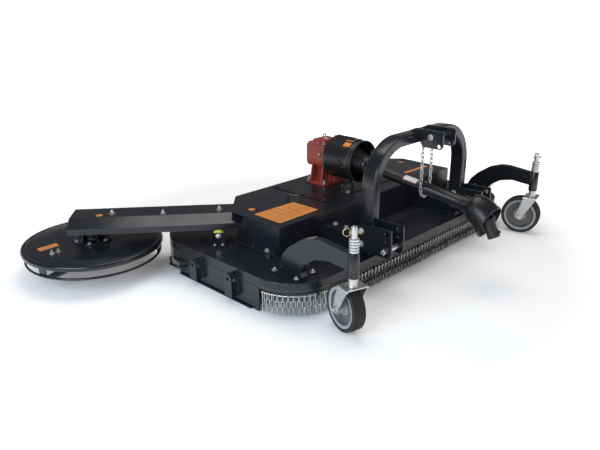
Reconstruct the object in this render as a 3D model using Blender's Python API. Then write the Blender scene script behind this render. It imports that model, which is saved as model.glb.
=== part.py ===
"""Rotary mulcher with a swinging side disc, in metres, +Z up, the tractor towards -Y."""

import math

import bmesh
import bpy
from mathutils import Matrix, Vector

# Facets of round pieces
FINE = 10
ROUND = 12
WIDE = 16
DISC_SIDES = 36

# Clearances
SEAT = 0.0003
RUN = 0.0009

# Deck
DECK_HALF = 1.061
DECK_TOP = 0.186
DECK_WALL = 0.006
DECK_FRONT = -0.052
DECK_REAR = 1.14
FRONT_CORNER = 0.25
REAR_CORNER = 0.27
FRONT_SKIRT = 0.128
REAR_SKIRT = 0.060
SKID_OUT = 0.012
SKID_START = 0.25
SKID_END = 0.86
LUG_OUT = 0.040
LUG_LENGTH = 0.058
LUG_TOP = 0.158
LUG_BOTTOM = 0.030
LUG_PLACES = (0.39, 0.69)
LUG_HOLE = 0.009

# Drive cover
COVER_HALF = 0.82
COVER_FRONT = 0.294
COVER_REAR = 0.881
COVER_TOP = 0.354
COVER_WALL = 0.004
COVER_CHAMFER = 0.20
ARM_MOUTH_TOP_Y = 0.578
ARM_MOUTH_LOW_Y = 0.632
ARM_MOUTH_LOW_Z = 0.247
ARM_MOUTH_RIGHT = -0.330
PLATE_HALF = 0.336
PLATE_FRONT = 0.410
PLATE_REAR = 0.850
PLATE_THICK = 0.004
COVER_BOLT = 0.009

# Gearbox
BOX_Y = 0.70
FLANGE_HALF_X = 0.115
FLANGE_HALF_Y = 0.085
FLANGE_THICK = 0.012
NECK_RADIUS = 0.062
BODY_LOW = 0.460
BODY_TOP = 0.605
BODY_HALF_X = 0.090
BODY_FRONT = 0.640
BODY_REAR = 0.790
BODY_ROUND = 0.045
INPUT_BOSS = 0.014
CROWN_TEETH = 24
PINION_TEETH = 12
CROWN_RADIUS = 0.048
PINION_RADIUS = CROWN_RADIUS * PINION_TEETH / CROWN_TEETH
GEAR_FACE = 0.30
OUTPUT_RADIUS = 0.016
LID_TOP = 0.637
LID_INSET = 0.008
BOX_BOLT = 0.010
EYE_RADIUS = 0.013
EYE_WIRE = 0.0045
WEB_THICK = 0.012

# Input and its shield
INPUT_Z = 0.535
INPUT_RADIUS = 0.0175
SHIELD_RADIUS = 0.127
SHIELD_WALL = 0.004
SHIELD_MOUTH = 0.400
FLAP_FRONT = 0.446
FLAP_HALF = 0.052
FLAP_THICK = 0.003
FLAP_RISE = 0.018

# Headstock
LEG_X = 0.435
ARCH_HALF_X = 0.0275
ARCH_HALF_Y = 0.0415
ARCH_TOP = 0.793
ARCH_CORNER = 0.250
BEAM_TOP = 0.290
BEAM_LOW = 0.215
BEAM_FRONT = -0.110
HITCH_THICK = 0.012
HITCH_INNER = LEG_X - ARCH_HALF_X - HITCH_THICK / 2 - SEAT
HITCH_OUTER = 0.507
LINK_PIN_RADIUS = 0.014
LINK_PIN_Y = -0.163
LINK_PIN_Z = 0.262
HITCH_HOLE_Y = -0.169
HITCH_HOLE_Z = 0.354
HITCH_BOLT_Y = -0.006
HITCH_BOLT_Z = (0.332, 0.260)
HITCH_BOLT = 0.011
FOOT_HALF_X = 0.045
FOOT_FRONT = -0.035
BRACKET_HALF = 0.060
BRACKET_THICK = 0.012
TOP_PIN_Y = -0.108
TOP_PIN_DROP = 0.0195
TOP_PIN_RADIUS = 0.0125
TOP_HOLE_Y = -0.157
TOP_HOLE_DROP = 0.065

# Casters
CASTER_X = 0.912
CASTER_Y = -0.283
CASTER_ARM_THICK = 0.040
HOUSING_RADIUS = 0.027
HOUSING_LOW = 0.292
HOUSING_TOP = 0.417
SPINDLE_RADIUS = 0.0145
SPINDLE_TOP = 0.541
SLEEVE_RADIUS = 0.0225
FORK_PLATE_Z = 0.247
FORK_PLATE_THICK = 0.006
FORK_PLATE_BACK = 0.042
FORK_PLATE_AHEAD = 0.044
FORK_HALF = 0.060
FORK_LEG_THICK = 0.006
RING_COUNT = 5
RING_RADIUS = 0.0235
RING_TOP = 0.485
WHEEL_RADIUS = 0.122
WHEEL_HALF = 0.036
WHEEL_TRAIL = 0.055
WHEEL_RIBS = 5
RIM_RADIUS = 0.103
AXLE_RADIUS = 0.008
CASTER_TURN = (73.0, 103.2)
FOOT_PLATE_THICK = 0.008
FOOT_PLATE_OUT = 0.058
FOOT_PLATE_IN = 0.097
FOOT_PLATE_FRONT = 0.020
FOOT_PLATE_REAR = 0.215
CASTER_BOLT = 0.010

# Blade rotors
ROTOR_X = 0.53
ROTOR_Y = 0.585
ROTOR_REACH = 0.495
ROTOR_SHAFT = 0.020
BLADE_Z = 0.062
BLADE_THICK = 0.008
BLADE_WIDTH = 0.070
BLADE_LENGTH = 0.170
CARRIER_THICK = 0.014
LEFT_ROTOR_TURN = 60
RIGHT_ROTOR_TURN = 150
BEARING_RADIUS = 0.065
BEARING_LOW = 0.110
BEARING_TOP = 0.200
BEARING_FLANGE = 0.085
PULLEY_RADIUS = 0.085
PULLEY_LOW = 0.210
PULLEY_TOP = 0.250
DRIVE_PULLEY_RADIUS = 0.110
BELT_THICK = 0.008
BELT_STEPS = 12

# Swing arm and side disc
ARM_ANGLE = 140
ARM_TOP = 0.338
ARM_TOP_HALF = 0.079
ARM_SHOULDER_HALF = 0.158
ARM_HUB_HALF = 0.140
ARM_TAPER_END = 0.450
ARM_SHOULDER_Z = 0.300
ARM_LIP_Z = 0.265
ARM_WALL = 0.004
ARM_PULLEY_LOW = 0.270
ARM_PULLEY_TOP = 0.310
ARM_PULLEY_RADIUS = 0.060
ARM_BOLTS = ((0.353, 0.020), (0.669, 0.050), (0.955, 0.020))
ARM_BOLT = 0.0125
DISC_REACH = 1.083
ARM_END = 0.097
ARM_LENGTH = DISC_REACH + ARM_END
ARM_FLOOR_END = 0.115
DISC_RADIUS = 0.393
DISC_TOP = 0.180
DISC_SKIRT = 0.030
DISC_WALL = 0.005
DISC_HUB_RADIUS = 0.070
DISC_SHAFT = 0.016
DISC_STRAPS = 3
DISC_STRAP_START = -4
DISC_STRAP_HALF = 0.026
DISC_STRAP_THICK = 0.006
DISC_FLANGE = 0.105
DISC_ROD_RADIUS = 0.007
DISC_ROD_REACH = 0.374
DISC_ROD_Z = 0.102
DISC_BLADE_Z = 0.085
DISC_BLADE_REACH = 0.356

# Side roller
ROLLER_E = 0.360
ROLLER_N = 0.150
ROLLER_RADIUS = 0.028
ROLLER_LENGTH = 0.046
ROLLER_PLATE = 0.006
ROLLER_FLANGE = 0.041
ROLLER_FRONT = 0.062
ROLLER_PIN = 0.006

# PTO shaft and guard
JOINT_Y = 0.500
PTO_SLOPE = 7.5
REAR_CONE_START = 0.020
REAR_CONE_END = 0.145
REAR_CONE_RADIUS = 0.088
THIN_TUBE = 0.0315
THICK_TUBE = 0.036
GUARD_WALL = 0.0025
THICK_START = 0.540
COLLAR_START = 0.806
COLLAR_END = 0.850
COLLAR_RADIUS = 0.044
MOUTH_LENGTH = 0.135
MOUTH_Y = -0.460
MOUTH_Z = 0.3565
MOUTH_SLOPE = 23
MOUTH_RADIUS = 0.095
PROFILE_OUTER = 0.024
PROFILE_INNER = 0.017
YOKE_EYE = 0.016
YOKE_BASE = 0.042
YOKE_FLOOR = 0.012
YOKE_HUB = 0.045
YOKE_BACK = YOKE_BASE + YOKE_FLOOR + 0.004
CROSS_PIN = 0.0085
CROSS_CHAMFER = 0.003
TRACTOR_HUB_RADIUS = 0.033
TRACTOR_HUB = 0.095
REAR_CROSS_REACH = 0.030
FRONT_CROSS_REACH = 0.030
FRONT_CROSS = 0.935
TRACTOR_YOKE_DROP = 62

# Chains
CHAIN_ROD_Z = 0.115
CHAIN_ROD_HALF = 0.005
CHAIN_STEP = 0.070
CORNER_START = 0.012
CHAIN_LENGTH = 0.100
CHAIN_LINKS = 2
CHAIN_WIRE = 0.0032
CHAIN_HALF = 0.0075
TAB_HALF = 0.003
TAB_WALL = 0.004
CURTAIN_HALF = 0.800
SLING_Y = -0.050
SLING_HALF = 0.045
SLING_LINK = 0.034
SLING_BAR = 0.0045
SLING_LINK_HALF = 0.0055
SLING_WIRE = 0.0028

# Small pieces
HANDLE_RADIUS = 0.006
HANDLE_HEIGHT = 0.045
GUARD_ROD_RADIUS = 0.008
GUARD_ROD_Z = 0.060


def vec(*values):
    return Vector(values)


def direction(degrees):
    """Unit vector in plan at this angle from +X."""
    return vec(math.cos(math.radians(degrees)), math.sin(math.radians(degrees)), 0)


# Shells: each is (points, faces), closed, facing out
def prism(outline, axis, low, high):
    """An outline swept along X, Y or Z; the outline's two values are the other two axes in order."""
    place = {
        "X": lambda a, b, t: vec(t, a, b),
        "Y": lambda a, b, t: vec(a, t, b),
        "Z": lambda a, b, t: vec(a, b, t),
    }[axis]
    count = len(outline)
    points = [place(a, b, low) for a, b in outline] + [place(a, b, high) for a, b in outline]
    faces = [tuple(range(count))[::-1], tuple(range(count, 2 * count))]
    for i in range(count):
        j = (i + 1) % count
        faces.append((i, j, count + j, count + i))
    return facing_out(points, faces)


def facing_out(points, faces):
    """Turns every face round when the volume comes out negative."""
    volume = 0.0
    for face in faces:
        for i in range(1, len(face) - 1):
            a, b, c = points[face[0]], points[face[i]], points[face[i + 1]]
            volume += a.dot(b.cross(c))
    if volume < 0:
        faces = [face[::-1] for face in faces]
    return points, faces


def block(x0, x1, y0, y1, z0, z1):
    return prism([(x0, y0), (x1, y0), (x1, y1), (x0, y1)], "Z", z0, z1)


def lathe(profile, base, along, sides=ROUND, hollow=False):
    """A profile of (radius, height) turned about a line; an open profile is closed on the axis."""
    along = Vector(along).normalized()
    across = along.orthogonal().normalized()
    if abs(along.z) > 0.999:
        across = vec(1, 0, 0)
    side = along.cross(across)
    points = []
    faces = []
    rows = []
    for radius, height in profile:
        if radius < 1e-9:
            rows.append([len(points)])
            points.append(Vector(base) + along * height)
            continue
        row = []
        for i in range(sides):
            turn = 2 * math.pi * i / sides
            row.append(len(points))
            out = across * math.cos(turn) + side * math.sin(turn)
            points.append(Vector(base) + along * height + out * radius)
        rows.append(row)
    pairs = list(zip(rows, rows[1:]))
    if hollow:
        pairs.append((rows[-1], rows[0]))
    for first, second in pairs:
        for i in range(sides):
            j = (i + 1) % sides
            if len(first) == 1 and len(second) == 1:
                continue
            if len(first) == 1:
                faces.append((first[0], second[j], second[i]))
            elif len(second) == 1:
                faces.append((first[i], first[j], second[0]))
            else:
                faces.append((first[i], first[j], second[j], second[i]))
    if not hollow:
        if len(rows[0]) > 1:
            faces.append(tuple(rows[0])[::-1])
        if len(rows[-1]) > 1:
            faces.append(tuple(rows[-1]))
    return facing_out(points, faces)


def cylinder(base, along, radius, length, sides=ROUND):
    return lathe([(radius, 0), (radius, length)], base, along, sides)


def bore_round(radius, gap, sides=ROUND):
    """Radius of a faceted bore whose flats clear a round piece by this gap."""
    return (radius + gap) / math.cos(math.pi / sides)


def pipe(base, along, outer, inner, length, sides=ROUND):
    """A tube with open ends."""
    profile = [(outer, 0), (outer, length), (inner, length), (inner, 0)]
    return lathe(profile, base, along, sides, hollow=True)


def hex_bolt(base, along, size):
    """A bolt head, whose foot reaches a little into what it holds; size is its half-width."""
    return [lathe([(size, -0.003), (size, size * 0.6)], base, along, 6)]


def swept(route, radius, sides=8, closed=False):
    """A round bar along a route, mitred at each point."""
    route = [Vector(p) for p in route]
    count = len(route)
    points = []
    faces = []
    normal = None
    for i, point in enumerate(route):
        before = route[i - 1] if i or closed else point
        after = route[(i + 1) % count] if i < count - 1 or closed else point
        run = (after - before).normalized()
        if normal is None:
            normal = run.orthogonal().normalized()
        normal = (normal - run * normal.dot(run)).normalized()
        side = run.cross(normal)
        for k in range(sides):
            turn = 2 * math.pi * (k + 0.5) / sides
            points.append(point + (normal * math.cos(turn) + side * math.sin(turn)) * radius)
    for i in range(count if closed else count - 1):
        j = (i + 1) % count
        for k in range(sides):
            m = (k + 1) % sides
            faces.append((i * sides + k, i * sides + m, j * sides + m, j * sides + k))
    if not closed:
        faces.append(tuple(range(sides))[::-1])
        faces.append(tuple(range((count - 1) * sides, count * sides)))
    return facing_out(points, faces)


def rounded_rect(x0, x1, y0, y1, radii, steps=5):
    """Corners in the order front left, front right, rear right, rear left, each with its radius."""
    corners = ((x0, y0, 180), (x1, y0, 270), (x1, y1, 0), (x0, y1, 90))
    outline = []
    for (x, y, start), radius in zip(corners, radii):
        if radius <= 0:
            outline.append((x, y))
            continue
        cx = x + radius if x == x0 else x - radius
        cy = y + radius if y == y0 else y - radius
        for i in range(steps + 1):
            turn = math.radians(start + 90 * i / steps)
            outline.append((cx + radius * math.cos(turn), cy + radius * math.sin(turn)))
    return outline


def moved(shell, matrix):
    points, faces = shell
    points = [matrix @ p for p in points]
    if matrix.to_3x3().determinant() < 0:
        faces = [face[::-1] for face in faces]
    return points, faces


def mirrored(shells):
    return [moved(shell, Matrix.Scale(-1, 4, vec(1, 0, 0))) for shell in shells]


def joined(shells):
    points = []
    faces = []
    for shell_points, shell_faces in shells:
        base = len(points)
        points += shell_points
        faces += [tuple(base + i for i in face) for face in shell_faces]
    return points, faces


# Materials
def finish(name, colour, roughness, metallic):
    material = bpy.data.materials.new(name)
    material.use_nodes = True
    shader = material.node_tree.nodes["Principled BSDF"]
    shader.inputs["Base Color"].default_value = (*colour, 1)
    shader.inputs["Roughness"].default_value = roughness
    shader.inputs["Metallic"].default_value = metallic
    return material


# Objects
def mesh_object(name, shell, pivot):
    mesh = bpy.data.meshes.new(name)
    points, faces = shell
    mesh.from_pydata([p - Vector(pivot) for p in points], [], faces)
    work = bmesh.new()
    work.from_mesh(mesh)
    bmesh.ops.recalc_face_normals(work, faces=work.faces)
    work.to_mesh(mesh)
    work.free()
    obj = bpy.data.objects.new(name, mesh)
    obj.location = pivot
    bpy.context.scene.collection.objects.link(obj)
    return obj


def helper(name, shells, pivot):
    obj = mesh_object(name, joined(shells), pivot)
    obj.hide_render = True
    obj.display_type = "WIRE"
    return obj


def solid(name, material, shells, cuts=(), pivot=(0, 0, 0), late=()):
    """One node: its shells are united, its cuts are taken away, then late shells are added."""
    obj = mesh_object(name, shells[0], pivot)
    obj.data.materials.append(material)
    if len(shells) > 1:
        union = obj.modifiers.new("fused", "BOOLEAN")
        union.operation = "UNION"
        union.object = helper(name + ".added", shells[1:], pivot)
        union.solver = "EXACT"
        union.use_self = True
    if cuts:
        cut = obj.modifiers.new("cut", "BOOLEAN")
        cut.operation = "DIFFERENCE"
        cut.object = helper(name + ".cutter", cuts, pivot)
        cut.solver = "EXACT"
        cut.use_self = len(cuts) > 1
    if late:
        weld = obj.modifiers.new("welded", "BOOLEAN")
        weld.operation = "UNION"
        weld.object = helper(name + ".welded", late, pivot)
        weld.solver = "EXACT"
        weld.use_self = True
    obj.data.shade_smooth()
    obj.data.set_sharp_from_angle(angle=math.radians(35))
    return obj


def carry(parent, pieces):
    """Parents pieces to a joint's empty, or to the machine, keeping their place."""
    for obj in pieces:
        helpers = [m.object for m in obj.modifiers if m.type == "BOOLEAN"]
        for item in [obj, *helpers]:
            item.parent = parent
            item.location = item.location - joint_place(parent)


def joint_place(empty):
    place = vec(0, 0, 0)
    while empty:
        place += empty.location
        empty = empty.parent
    return place


def joint(name, parent, place):
    empty = bpy.data.objects.new(name, None)
    empty.empty_display_size = 0.05
    bpy.context.scene.collection.objects.link(empty)
    empty.parent = parent
    empty.location = Vector(place) - joint_place(parent)
    return empty


# Deck
def deck_plan(inset):
    radii = (FRONT_CORNER - inset, FRONT_CORNER - inset, REAR_CORNER - inset, REAR_CORNER - inset)
    half = DECK_HALF - inset
    return rounded_rect(-half, half, DECK_FRONT + inset, DECK_REAR - inset, radii, 6)


def side_lug(y, top):
    """A lug with a round top on the left side wall."""
    half = LUG_LENGTH / 2
    outline = [(y - half, LUG_BOTTOM), (y + half, LUG_BOTTOM), (y + half, top - half)]
    for i in range(1, 6):
        turn = math.pi * i / 6
        outline.append((y + half * math.cos(turn), top - half + half * math.sin(turn)))
    outline.append((y - half, top - half))
    return prism(outline, "X", -DECK_HALF - LUG_OUT, -DECK_HALF + DECK_WALL / 2)


def make_deck(paint):
    far = DECK_HALF + 0.05
    shells = [prism(deck_plan(0), "Z", 0, DECK_TOP)]
    for side in (-1, 1):
        edge = sorted((side * (DECK_HALF - DECK_WALL / 2), side * (DECK_HALF + SKID_OUT)))
        shells.append(block(*edge, SKID_START, SKID_END, 0, DECK_WALL))
    cuts = [
        prism(deck_plan(DECK_WALL), "Z", -0.05, DECK_TOP - DECK_WALL),
        block(-far, far, DECK_FRONT - 0.05, DECK_FRONT + FRONT_CORNER, -0.05, FRONT_SKIRT),
        block(-far, far, DECK_REAR - REAR_CORNER, DECK_REAR + 0.05, -0.05, REAR_SKIRT),
    ]
    for x in (-ROTOR_X, ROTOR_X):
        base = vec(x, ROTOR_Y, DECK_TOP - 0.05)
        cuts.append(cylinder(base, (0, 0, 1), BEARING_RADIUS + SEAT, 0.1, WIDE))
    for i, y in enumerate(LUG_PLACES):
        top = LUG_TOP - i * 0.013
        hole = vec(-DECK_HALF - LUG_OUT - 0.01, y, top - LUG_LENGTH / 2)
        shells.append(side_lug(y, top))
        cuts.append(cylinder(hole, (1, 0, 0), LUG_HOLE, LUG_OUT * 0.8, 12))
    return solid("deck_shell", paint, shells, cuts, late=rod_tabs())


def make_guard_rod(zinc):
    """The bent rod low on the left side, from a lug to the round rear corner."""
    outside = DECK_HALF + GUARD_ROD_RADIUS + SEAT
    centre = vec(-DECK_HALF + REAR_CORNER, DECK_REAR - REAR_CORNER, GUARD_ROD_Z)
    reach = REAR_CORNER + GUARD_ROD_RADIUS + SEAT
    lug_y = SKID_END - 0.05
    stand = 0.033
    foot = -DECK_HALF - SEAT
    route = [vec(foot, lug_y, GUARD_ROD_Z), vec(foot - 0.014, lug_y, GUARD_ROD_Z),
             vec(-outside - stand * 0.8, lug_y + 0.016, GUARD_ROD_Z)]
    for y in (0.030, 0.060, 0.090):
        route.append(vec(-outside - stand, lug_y + y, GUARD_ROD_Z))
    for angle, out in ((172, 0.022), (164, 0.010), (157, 0)):
        route.append(centre + direction(angle) * (reach + out))
    return solid("side_guard_rod", zinc, [swept(route, GUARD_ROD_RADIUS, 8)])


# Drive cover
def cover_plan(inset):
    half = COVER_HALF - inset
    front, rear = COVER_FRONT + inset, COVER_REAR - inset
    cut = COVER_CHAMFER + inset * (math.sqrt(2) - 2)
    return [(-half, front), (half, front), (half, rear - cut), (half - cut, rear),
            (-half + cut, rear), (-half, rear - cut)]


def make_cover(paint):
    low = DECK_TOP + SEAT
    inner_top = COVER_TOP - COVER_WALL
    shells = [prism(cover_plan(0), "Z", low, COVER_TOP)]
    mouth = [(ARM_MOUTH_TOP_Y, inner_top), (ARM_MOUTH_LOW_Y, ARM_MOUTH_LOW_Z),
             (ARM_MOUTH_LOW_Y, low - 0.02), (COVER_REAR + 0.02, low - 0.02),
             (COVER_REAR + 0.02, inner_top)]
    cuts = [
        prism(cover_plan(COVER_WALL), "Z", low - 0.03, inner_top),
        prism(mouth, "X", -COVER_HALF - 0.02, ARM_MOUTH_RIGHT),
        cylinder((0, BOX_Y, inner_top - 0.01), (0, 0, 1), ROTOR_SHAFT + RUN, 0.03, ROUND),
    ]
    return solid("drive_cover", paint, shells, cuts)


def make_centre_plate(paint):
    low = COVER_TOP + SEAT
    top = low + PLATE_THICK
    shells = [block(-PLATE_HALF, PLATE_HALF, PLATE_FRONT, PLATE_REAR, low, top)]
    for i in range(4):
        x = -PLATE_HALF + 0.02 + i * (2 * PLATE_HALF - 0.04) / 3
        place = vec(x, PLATE_FRONT + 0.018, top)
        shells += hex_bolt(place, (0, 0, 1), COVER_BOLT)
    hole = cylinder((0, BOX_Y, low - 0.01), (0, 0, 1), ROTOR_SHAFT + RUN, 0.03, ROUND)
    return solid("centre_plate", paint, shells, [hole])


def handle(name, zinc, first, second):
    """A lifting handle: a bent rod with both feet on the cover."""
    first, second = Vector(first), Vector(second)
    up = vec(0, 0, HANDLE_HEIGHT)
    bend = (second - first).normalized() * 0.012
    route = [first, first + up - vec(0, 0, 0.012), first + up + bend, second + up - bend,
             second + up - vec(0, 0, 0.012), second]
    return solid(name, zinc, [swept(route, HANDLE_RADIUS, 8)])


def make_handles(zinc):
    on_cover = COVER_TOP + SEAT
    on_plate = on_cover + PLATE_THICK + SEAT
    return [
        handle("left_lifting_handle", zinc, (-0.479, 0.573, on_cover), (-0.442, 0.506, on_cover)),
        handle("centre_lifting_handle", zinc, (-0.114, 0.469, on_plate), (-0.022, 0.462, on_plate)),
    ]


# Gearbox
def gearbox_floor():
    return COVER_TOP + SEAT + PLATE_THICK + SEAT


def body_outline():
    """Front view outline of the gearbox body, with its two lower corners rounded."""
    low, top, half = BODY_LOW, BODY_TOP, BODY_HALF_X
    outline = [(half, top), (-half, top)]
    for side, start in ((-1, 180), (1, 270)):
        centre = (side * (half - BODY_ROUND), low + BODY_ROUND)
        for i in range(6):
            turn = math.radians(start + 90 * i / 5)
            outline.append((centre[0] + BODY_ROUND * math.cos(turn),
                            centre[1] + BODY_ROUND * math.sin(turn)))
    return outline


def make_gearbox(red):
    floor = gearbox_floor()
    flange_top = floor + FLANGE_THICK
    flange = rounded_rect(-FLANGE_HALF_X, FLANGE_HALF_X, BOX_Y - FLANGE_HALF_Y,
                          BOX_Y + FLANGE_HALF_Y, (0.02,) * 4, 3)
    shells = [
        prism(flange, "Z", floor, flange_top),
        cylinder((0, BOX_Y, flange_top - 0.004), (0, 0, 1), NECK_RADIUS,
                 BODY_LOW + 0.03 - flange_top, WIDE),
        prism(body_outline(), "Y", BODY_FRONT, BODY_REAR),
        cylinder((0, BODY_FRONT + 0.004, INPUT_Z), (0, -1, 0), 0.055, INPUT_BOSS + 0.004, WIDE),
        cylinder((0, BODY_REAR - 0.004, INPUT_Z), (0, 1, 0), 0.042, 0.014, WIDE),
    ]
    for side in (-1, 1):
        web = [(side * 0.03, flange_top - 0.003), (side * 0.105, flange_top - 0.003),
               (side * 0.078, BODY_LOW + 0.03), (side * 0.03, BODY_LOW + 0.03)]
        shells.append(prism(web, "Y", BOX_Y - WEB_THICK / 2, BOX_Y + WEB_THICK / 2))
        web = [(BOX_Y + side * 0.03, flange_top - 0.003), (BOX_Y + side * 0.078, flange_top - 0.003),
               (BOX_Y + side * 0.055, BODY_LOW + 0.02), (BOX_Y + side * 0.03, BODY_LOW + 0.02)]
        shells.append(prism(web, "X", -WEB_THICK / 2, WEB_THICK / 2))
        for end in (-1, 1):
            place = vec(side * (FLANGE_HALF_X - 0.022), BOX_Y + end * (FLANGE_HALF_Y - 0.020), flange_top)
            shells += hex_bolt(place, (0, 0, 1), BOX_BOLT)
    wall = 0.008
    cavity_low = INPUT_Z - CROWN_RADIUS - 0.012
    cuts = [
        block(-BODY_HALF_X + wall + 0.012, BODY_HALF_X - wall - 0.012, BODY_FRONT + wall,
              BODY_REAR - wall, cavity_low, BODY_TOP - SEAT + 0.01),
        cylinder((0, BOX_Y, floor - 0.02), (0, 0, 1), OUTPUT_RADIUS + RUN, cavity_low - floor + 0.03, ROUND),
        cylinder((0, BODY_FRONT - 0.03, INPUT_Z), (0, 1, 0), INPUT_RADIUS + RUN, 0.06, ROUND),
    ]
    return solid("gearbox_housing", red, shells, cuts)


def make_lid(red):
    low = BODY_TOP + SEAT
    inset = LID_INSET
    shells = [
        prism(rounded_rect(-BODY_HALF_X + 0.002, BODY_HALF_X - 0.002, BODY_FRONT + 0.002,
                           BODY_REAR - 0.002, (0.012,) * 4, 3), "Z", low, low + 0.012),
        prism(rounded_rect(-BODY_HALF_X + inset + 0.01, BODY_HALF_X - inset - 0.01,
                           BODY_FRONT + inset + 0.01, BODY_REAR - inset - 0.01, (0.02,) * 4, 3),
              "Z", low + 0.010, LID_TOP),
        cylinder((-0.03, BOX_Y - 0.03, LID_TOP - 0.002), (0, 0, 1), 0.010, 0.014, 8),
    ]
    eye = []
    for i in range(12):
        turn = 2 * math.pi * i / 12
        eye.append(vec(EYE_RADIUS * math.cos(turn), BOX_Y + 0.02,
                       LID_TOP + EYE_RADIUS + EYE_RADIUS * math.sin(turn)))
    shells.append(swept(eye, EYE_WIRE, 6, closed=True))
    for x in (-1, 1):
        for y in (BODY_FRONT + 0.012, BODY_REAR - 0.012):
            place = vec(x * (BODY_HALF_X - 0.012), y, low + 0.012)
            shells += hex_bolt(place, (0, 0, 1), 0.006)
    return solid("gearbox_lid", red, shells)


def bevel_gear(apex, along, teeth, radius, mate_radius, first_tooth, hub):
    """A straight bevel gear whose teeth run to the apex; along points from the apex to its back."""
    apex, along = Vector(apex), Vector(along).normalized()
    first = Vector(first_tooth).normalized()
    side = along.cross(first)
    cone = math.hypot(radius, mate_radius)
    pitch = math.atan2(radius, mate_radius)
    module = 2 * radius / teeth
    tip = pitch + math.atan(0.80 * module / cone)
    root = pitch - math.atan(1.10 * module / cone)
    step = 2 * math.pi / teeth
    corners = ((-0.30, root), (-0.12, tip), (0.12, tip), (0.30, root))
    points = []
    faces = []
    rings = []
    for reach in (cone, cone * (1 - GEAR_FACE)):
        ring = []
        for tooth in range(teeth):
            for share, angle in corners:
                turn = (tooth + share) * step
                out = first * math.cos(turn) + side * math.sin(turn)
                ring.append(len(points))
                points.append(apex + along * reach * math.cos(angle) + out * reach * math.sin(angle))
        rings.append(ring)
    back = len(points)
    points.append(apex + along * (mate_radius + hub))
    front = len(points)
    points.append(apex + along * mate_radius * (1 - GEAR_FACE))
    count = len(rings[0])
    for i in range(count):
        j = (i + 1) % count
        faces.append((rings[0][i], rings[0][j], rings[1][j], rings[1][i]))
        faces.append((rings[0][j], rings[0][i], back))
        faces.append((rings[1][i], rings[1][j], front))
    return facing_out(points, faces)


def gear_apex():
    return vec(0, BOX_Y, INPUT_Z)


def make_crown(steel):
    """The large bevel gear and the input shaft that it is made on, with the yoke outside."""
    apex = gear_apex()
    tooth = vec(0, 0, -1)
    gear = bevel_gear(apex, (0, -1, 0), CROWN_TEETH, CROWN_RADIUS, PINION_RADIUS, tooth, 0.008)
    shaft_end = BOX_Y - PINION_RADIUS + 0.004
    shells = [
        cylinder((0, JOINT_Y + YOKE_BACK, INPUT_Z), (0, 1, 0), INPUT_RADIUS,
                 shaft_end - JOINT_Y - YOKE_BACK, ROUND),
        gear,
    ]
    return solid("input_shaft_with_crown_gear", steel, shells, pivot=(0, BOX_Y, INPUT_Z))


def make_output(steel):
    apex = gear_apex()
    step = 360 / PINION_TEETH
    tooth = direction(-90 + step / 2)
    gear = bevel_gear(apex, (0, 0, -1), PINION_TEETH, PINION_RADIUS, CROWN_RADIUS, tooth, 0.004)
    pivot = (0, BOX_Y, DECK_TOP)
    low = DECK_TOP + 0.012
    shaft = cylinder((0, BOX_Y, low), (0, 0, 1), OUTPUT_RADIUS, INPUT_Z - CROWN_RADIUS - low, ROUND)
    pulley = pulley_shell((0, BOX_Y), DRIVE_PULLEY_RADIUS, OUTPUT_RADIUS - 0.003, PULLEY_LOW, PULLEY_TOP)
    return [solid("output_shaft_with_pulley", steel, [shaft, gear, pulley], pivot=pivot)]


def pulley_shell(centre, radius, shaft, low, top):
    """A pulley with a flat rim, a web and a hub, bored to sit on its shaft."""
    middle = (low + top) / 2
    bore = bore_round(shaft, SEAT, WIDE)
    profile = [(bore, low), (radius, low), (radius, top), (radius - 0.008, top), (radius - 0.008, middle),
               (bore + 0.012, middle), (bore + 0.012, top), (bore, top)]
    return lathe(profile, (*centre, 0), (0, 0, 1), WIDE, hollow=True)


def belt_outline(first, second, first_radius, second_radius):
    """The loop round two pulleys, as points in plan."""
    a, b = Vector((*first, 0)), Vector((*second, 0))
    run = b - a
    span = run.length
    heading = math.atan2(run.y, run.x)
    lean = math.acos((first_radius - second_radius) / span)
    outline = []
    for centre, radius, start, end in ((a, first_radius, lean, 2 * math.pi - lean),
                                       (b, second_radius, -lean, lean)):
        for i in range(BELT_STEPS + 1):
            turn = heading + start + (end - start) * i / BELT_STEPS
            outline.append((centre.x + radius * math.cos(turn), centre.y + radius * math.sin(turn)))
    return outline


def belt(name, rubber, first, second, radii, low, top, pivot=(0, 0, 0)):
    gap = [(r + SEAT) / math.cos(math.radians(90 / BELT_STEPS)) for r in radii]
    outer = belt_outline(first, second, gap[0] + BELT_THICK, gap[1] + BELT_THICK)
    inner = belt_outline(first, second, *gap)
    count = len(outer)
    points = []
    for z in (low, top):
        points += [vec(x, y, z) for x, y in outer] + [vec(x, y, z) for x, y in inner]
    faces = []
    for i in range(count):
        j = (i + 1) % count
        a, b = 0, count
        c, d = 2 * count, 3 * count
        faces.append((a + i, a + j, c + j, c + i))
        faces.append((b + j, b + i, d + i, d + j))
        faces.append((a + j, a + i, b + i, b + j))
        faces.append((c + i, c + j, d + j, d + i))
    return solid(name, rubber, [facing_out(points, faces)], pivot=pivot)


def make_belts(rubber):
    middle = (PULLEY_LOW + PULLEY_TOP) / 2
    radii = (DRIVE_PULLEY_RADIUS, PULLEY_RADIUS)
    return [
        belt("left_drive_belt", rubber, (0, BOX_Y), (-ROTOR_X, ROTOR_Y), radii,
             PULLEY_LOW + 0.001, middle - 0.001),
        belt("right_drive_belt", rubber, (0, BOX_Y), (ROTOR_X, ROTOR_Y), radii,
             middle + 0.001, PULLEY_TOP - 0.001),
    ]


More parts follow.
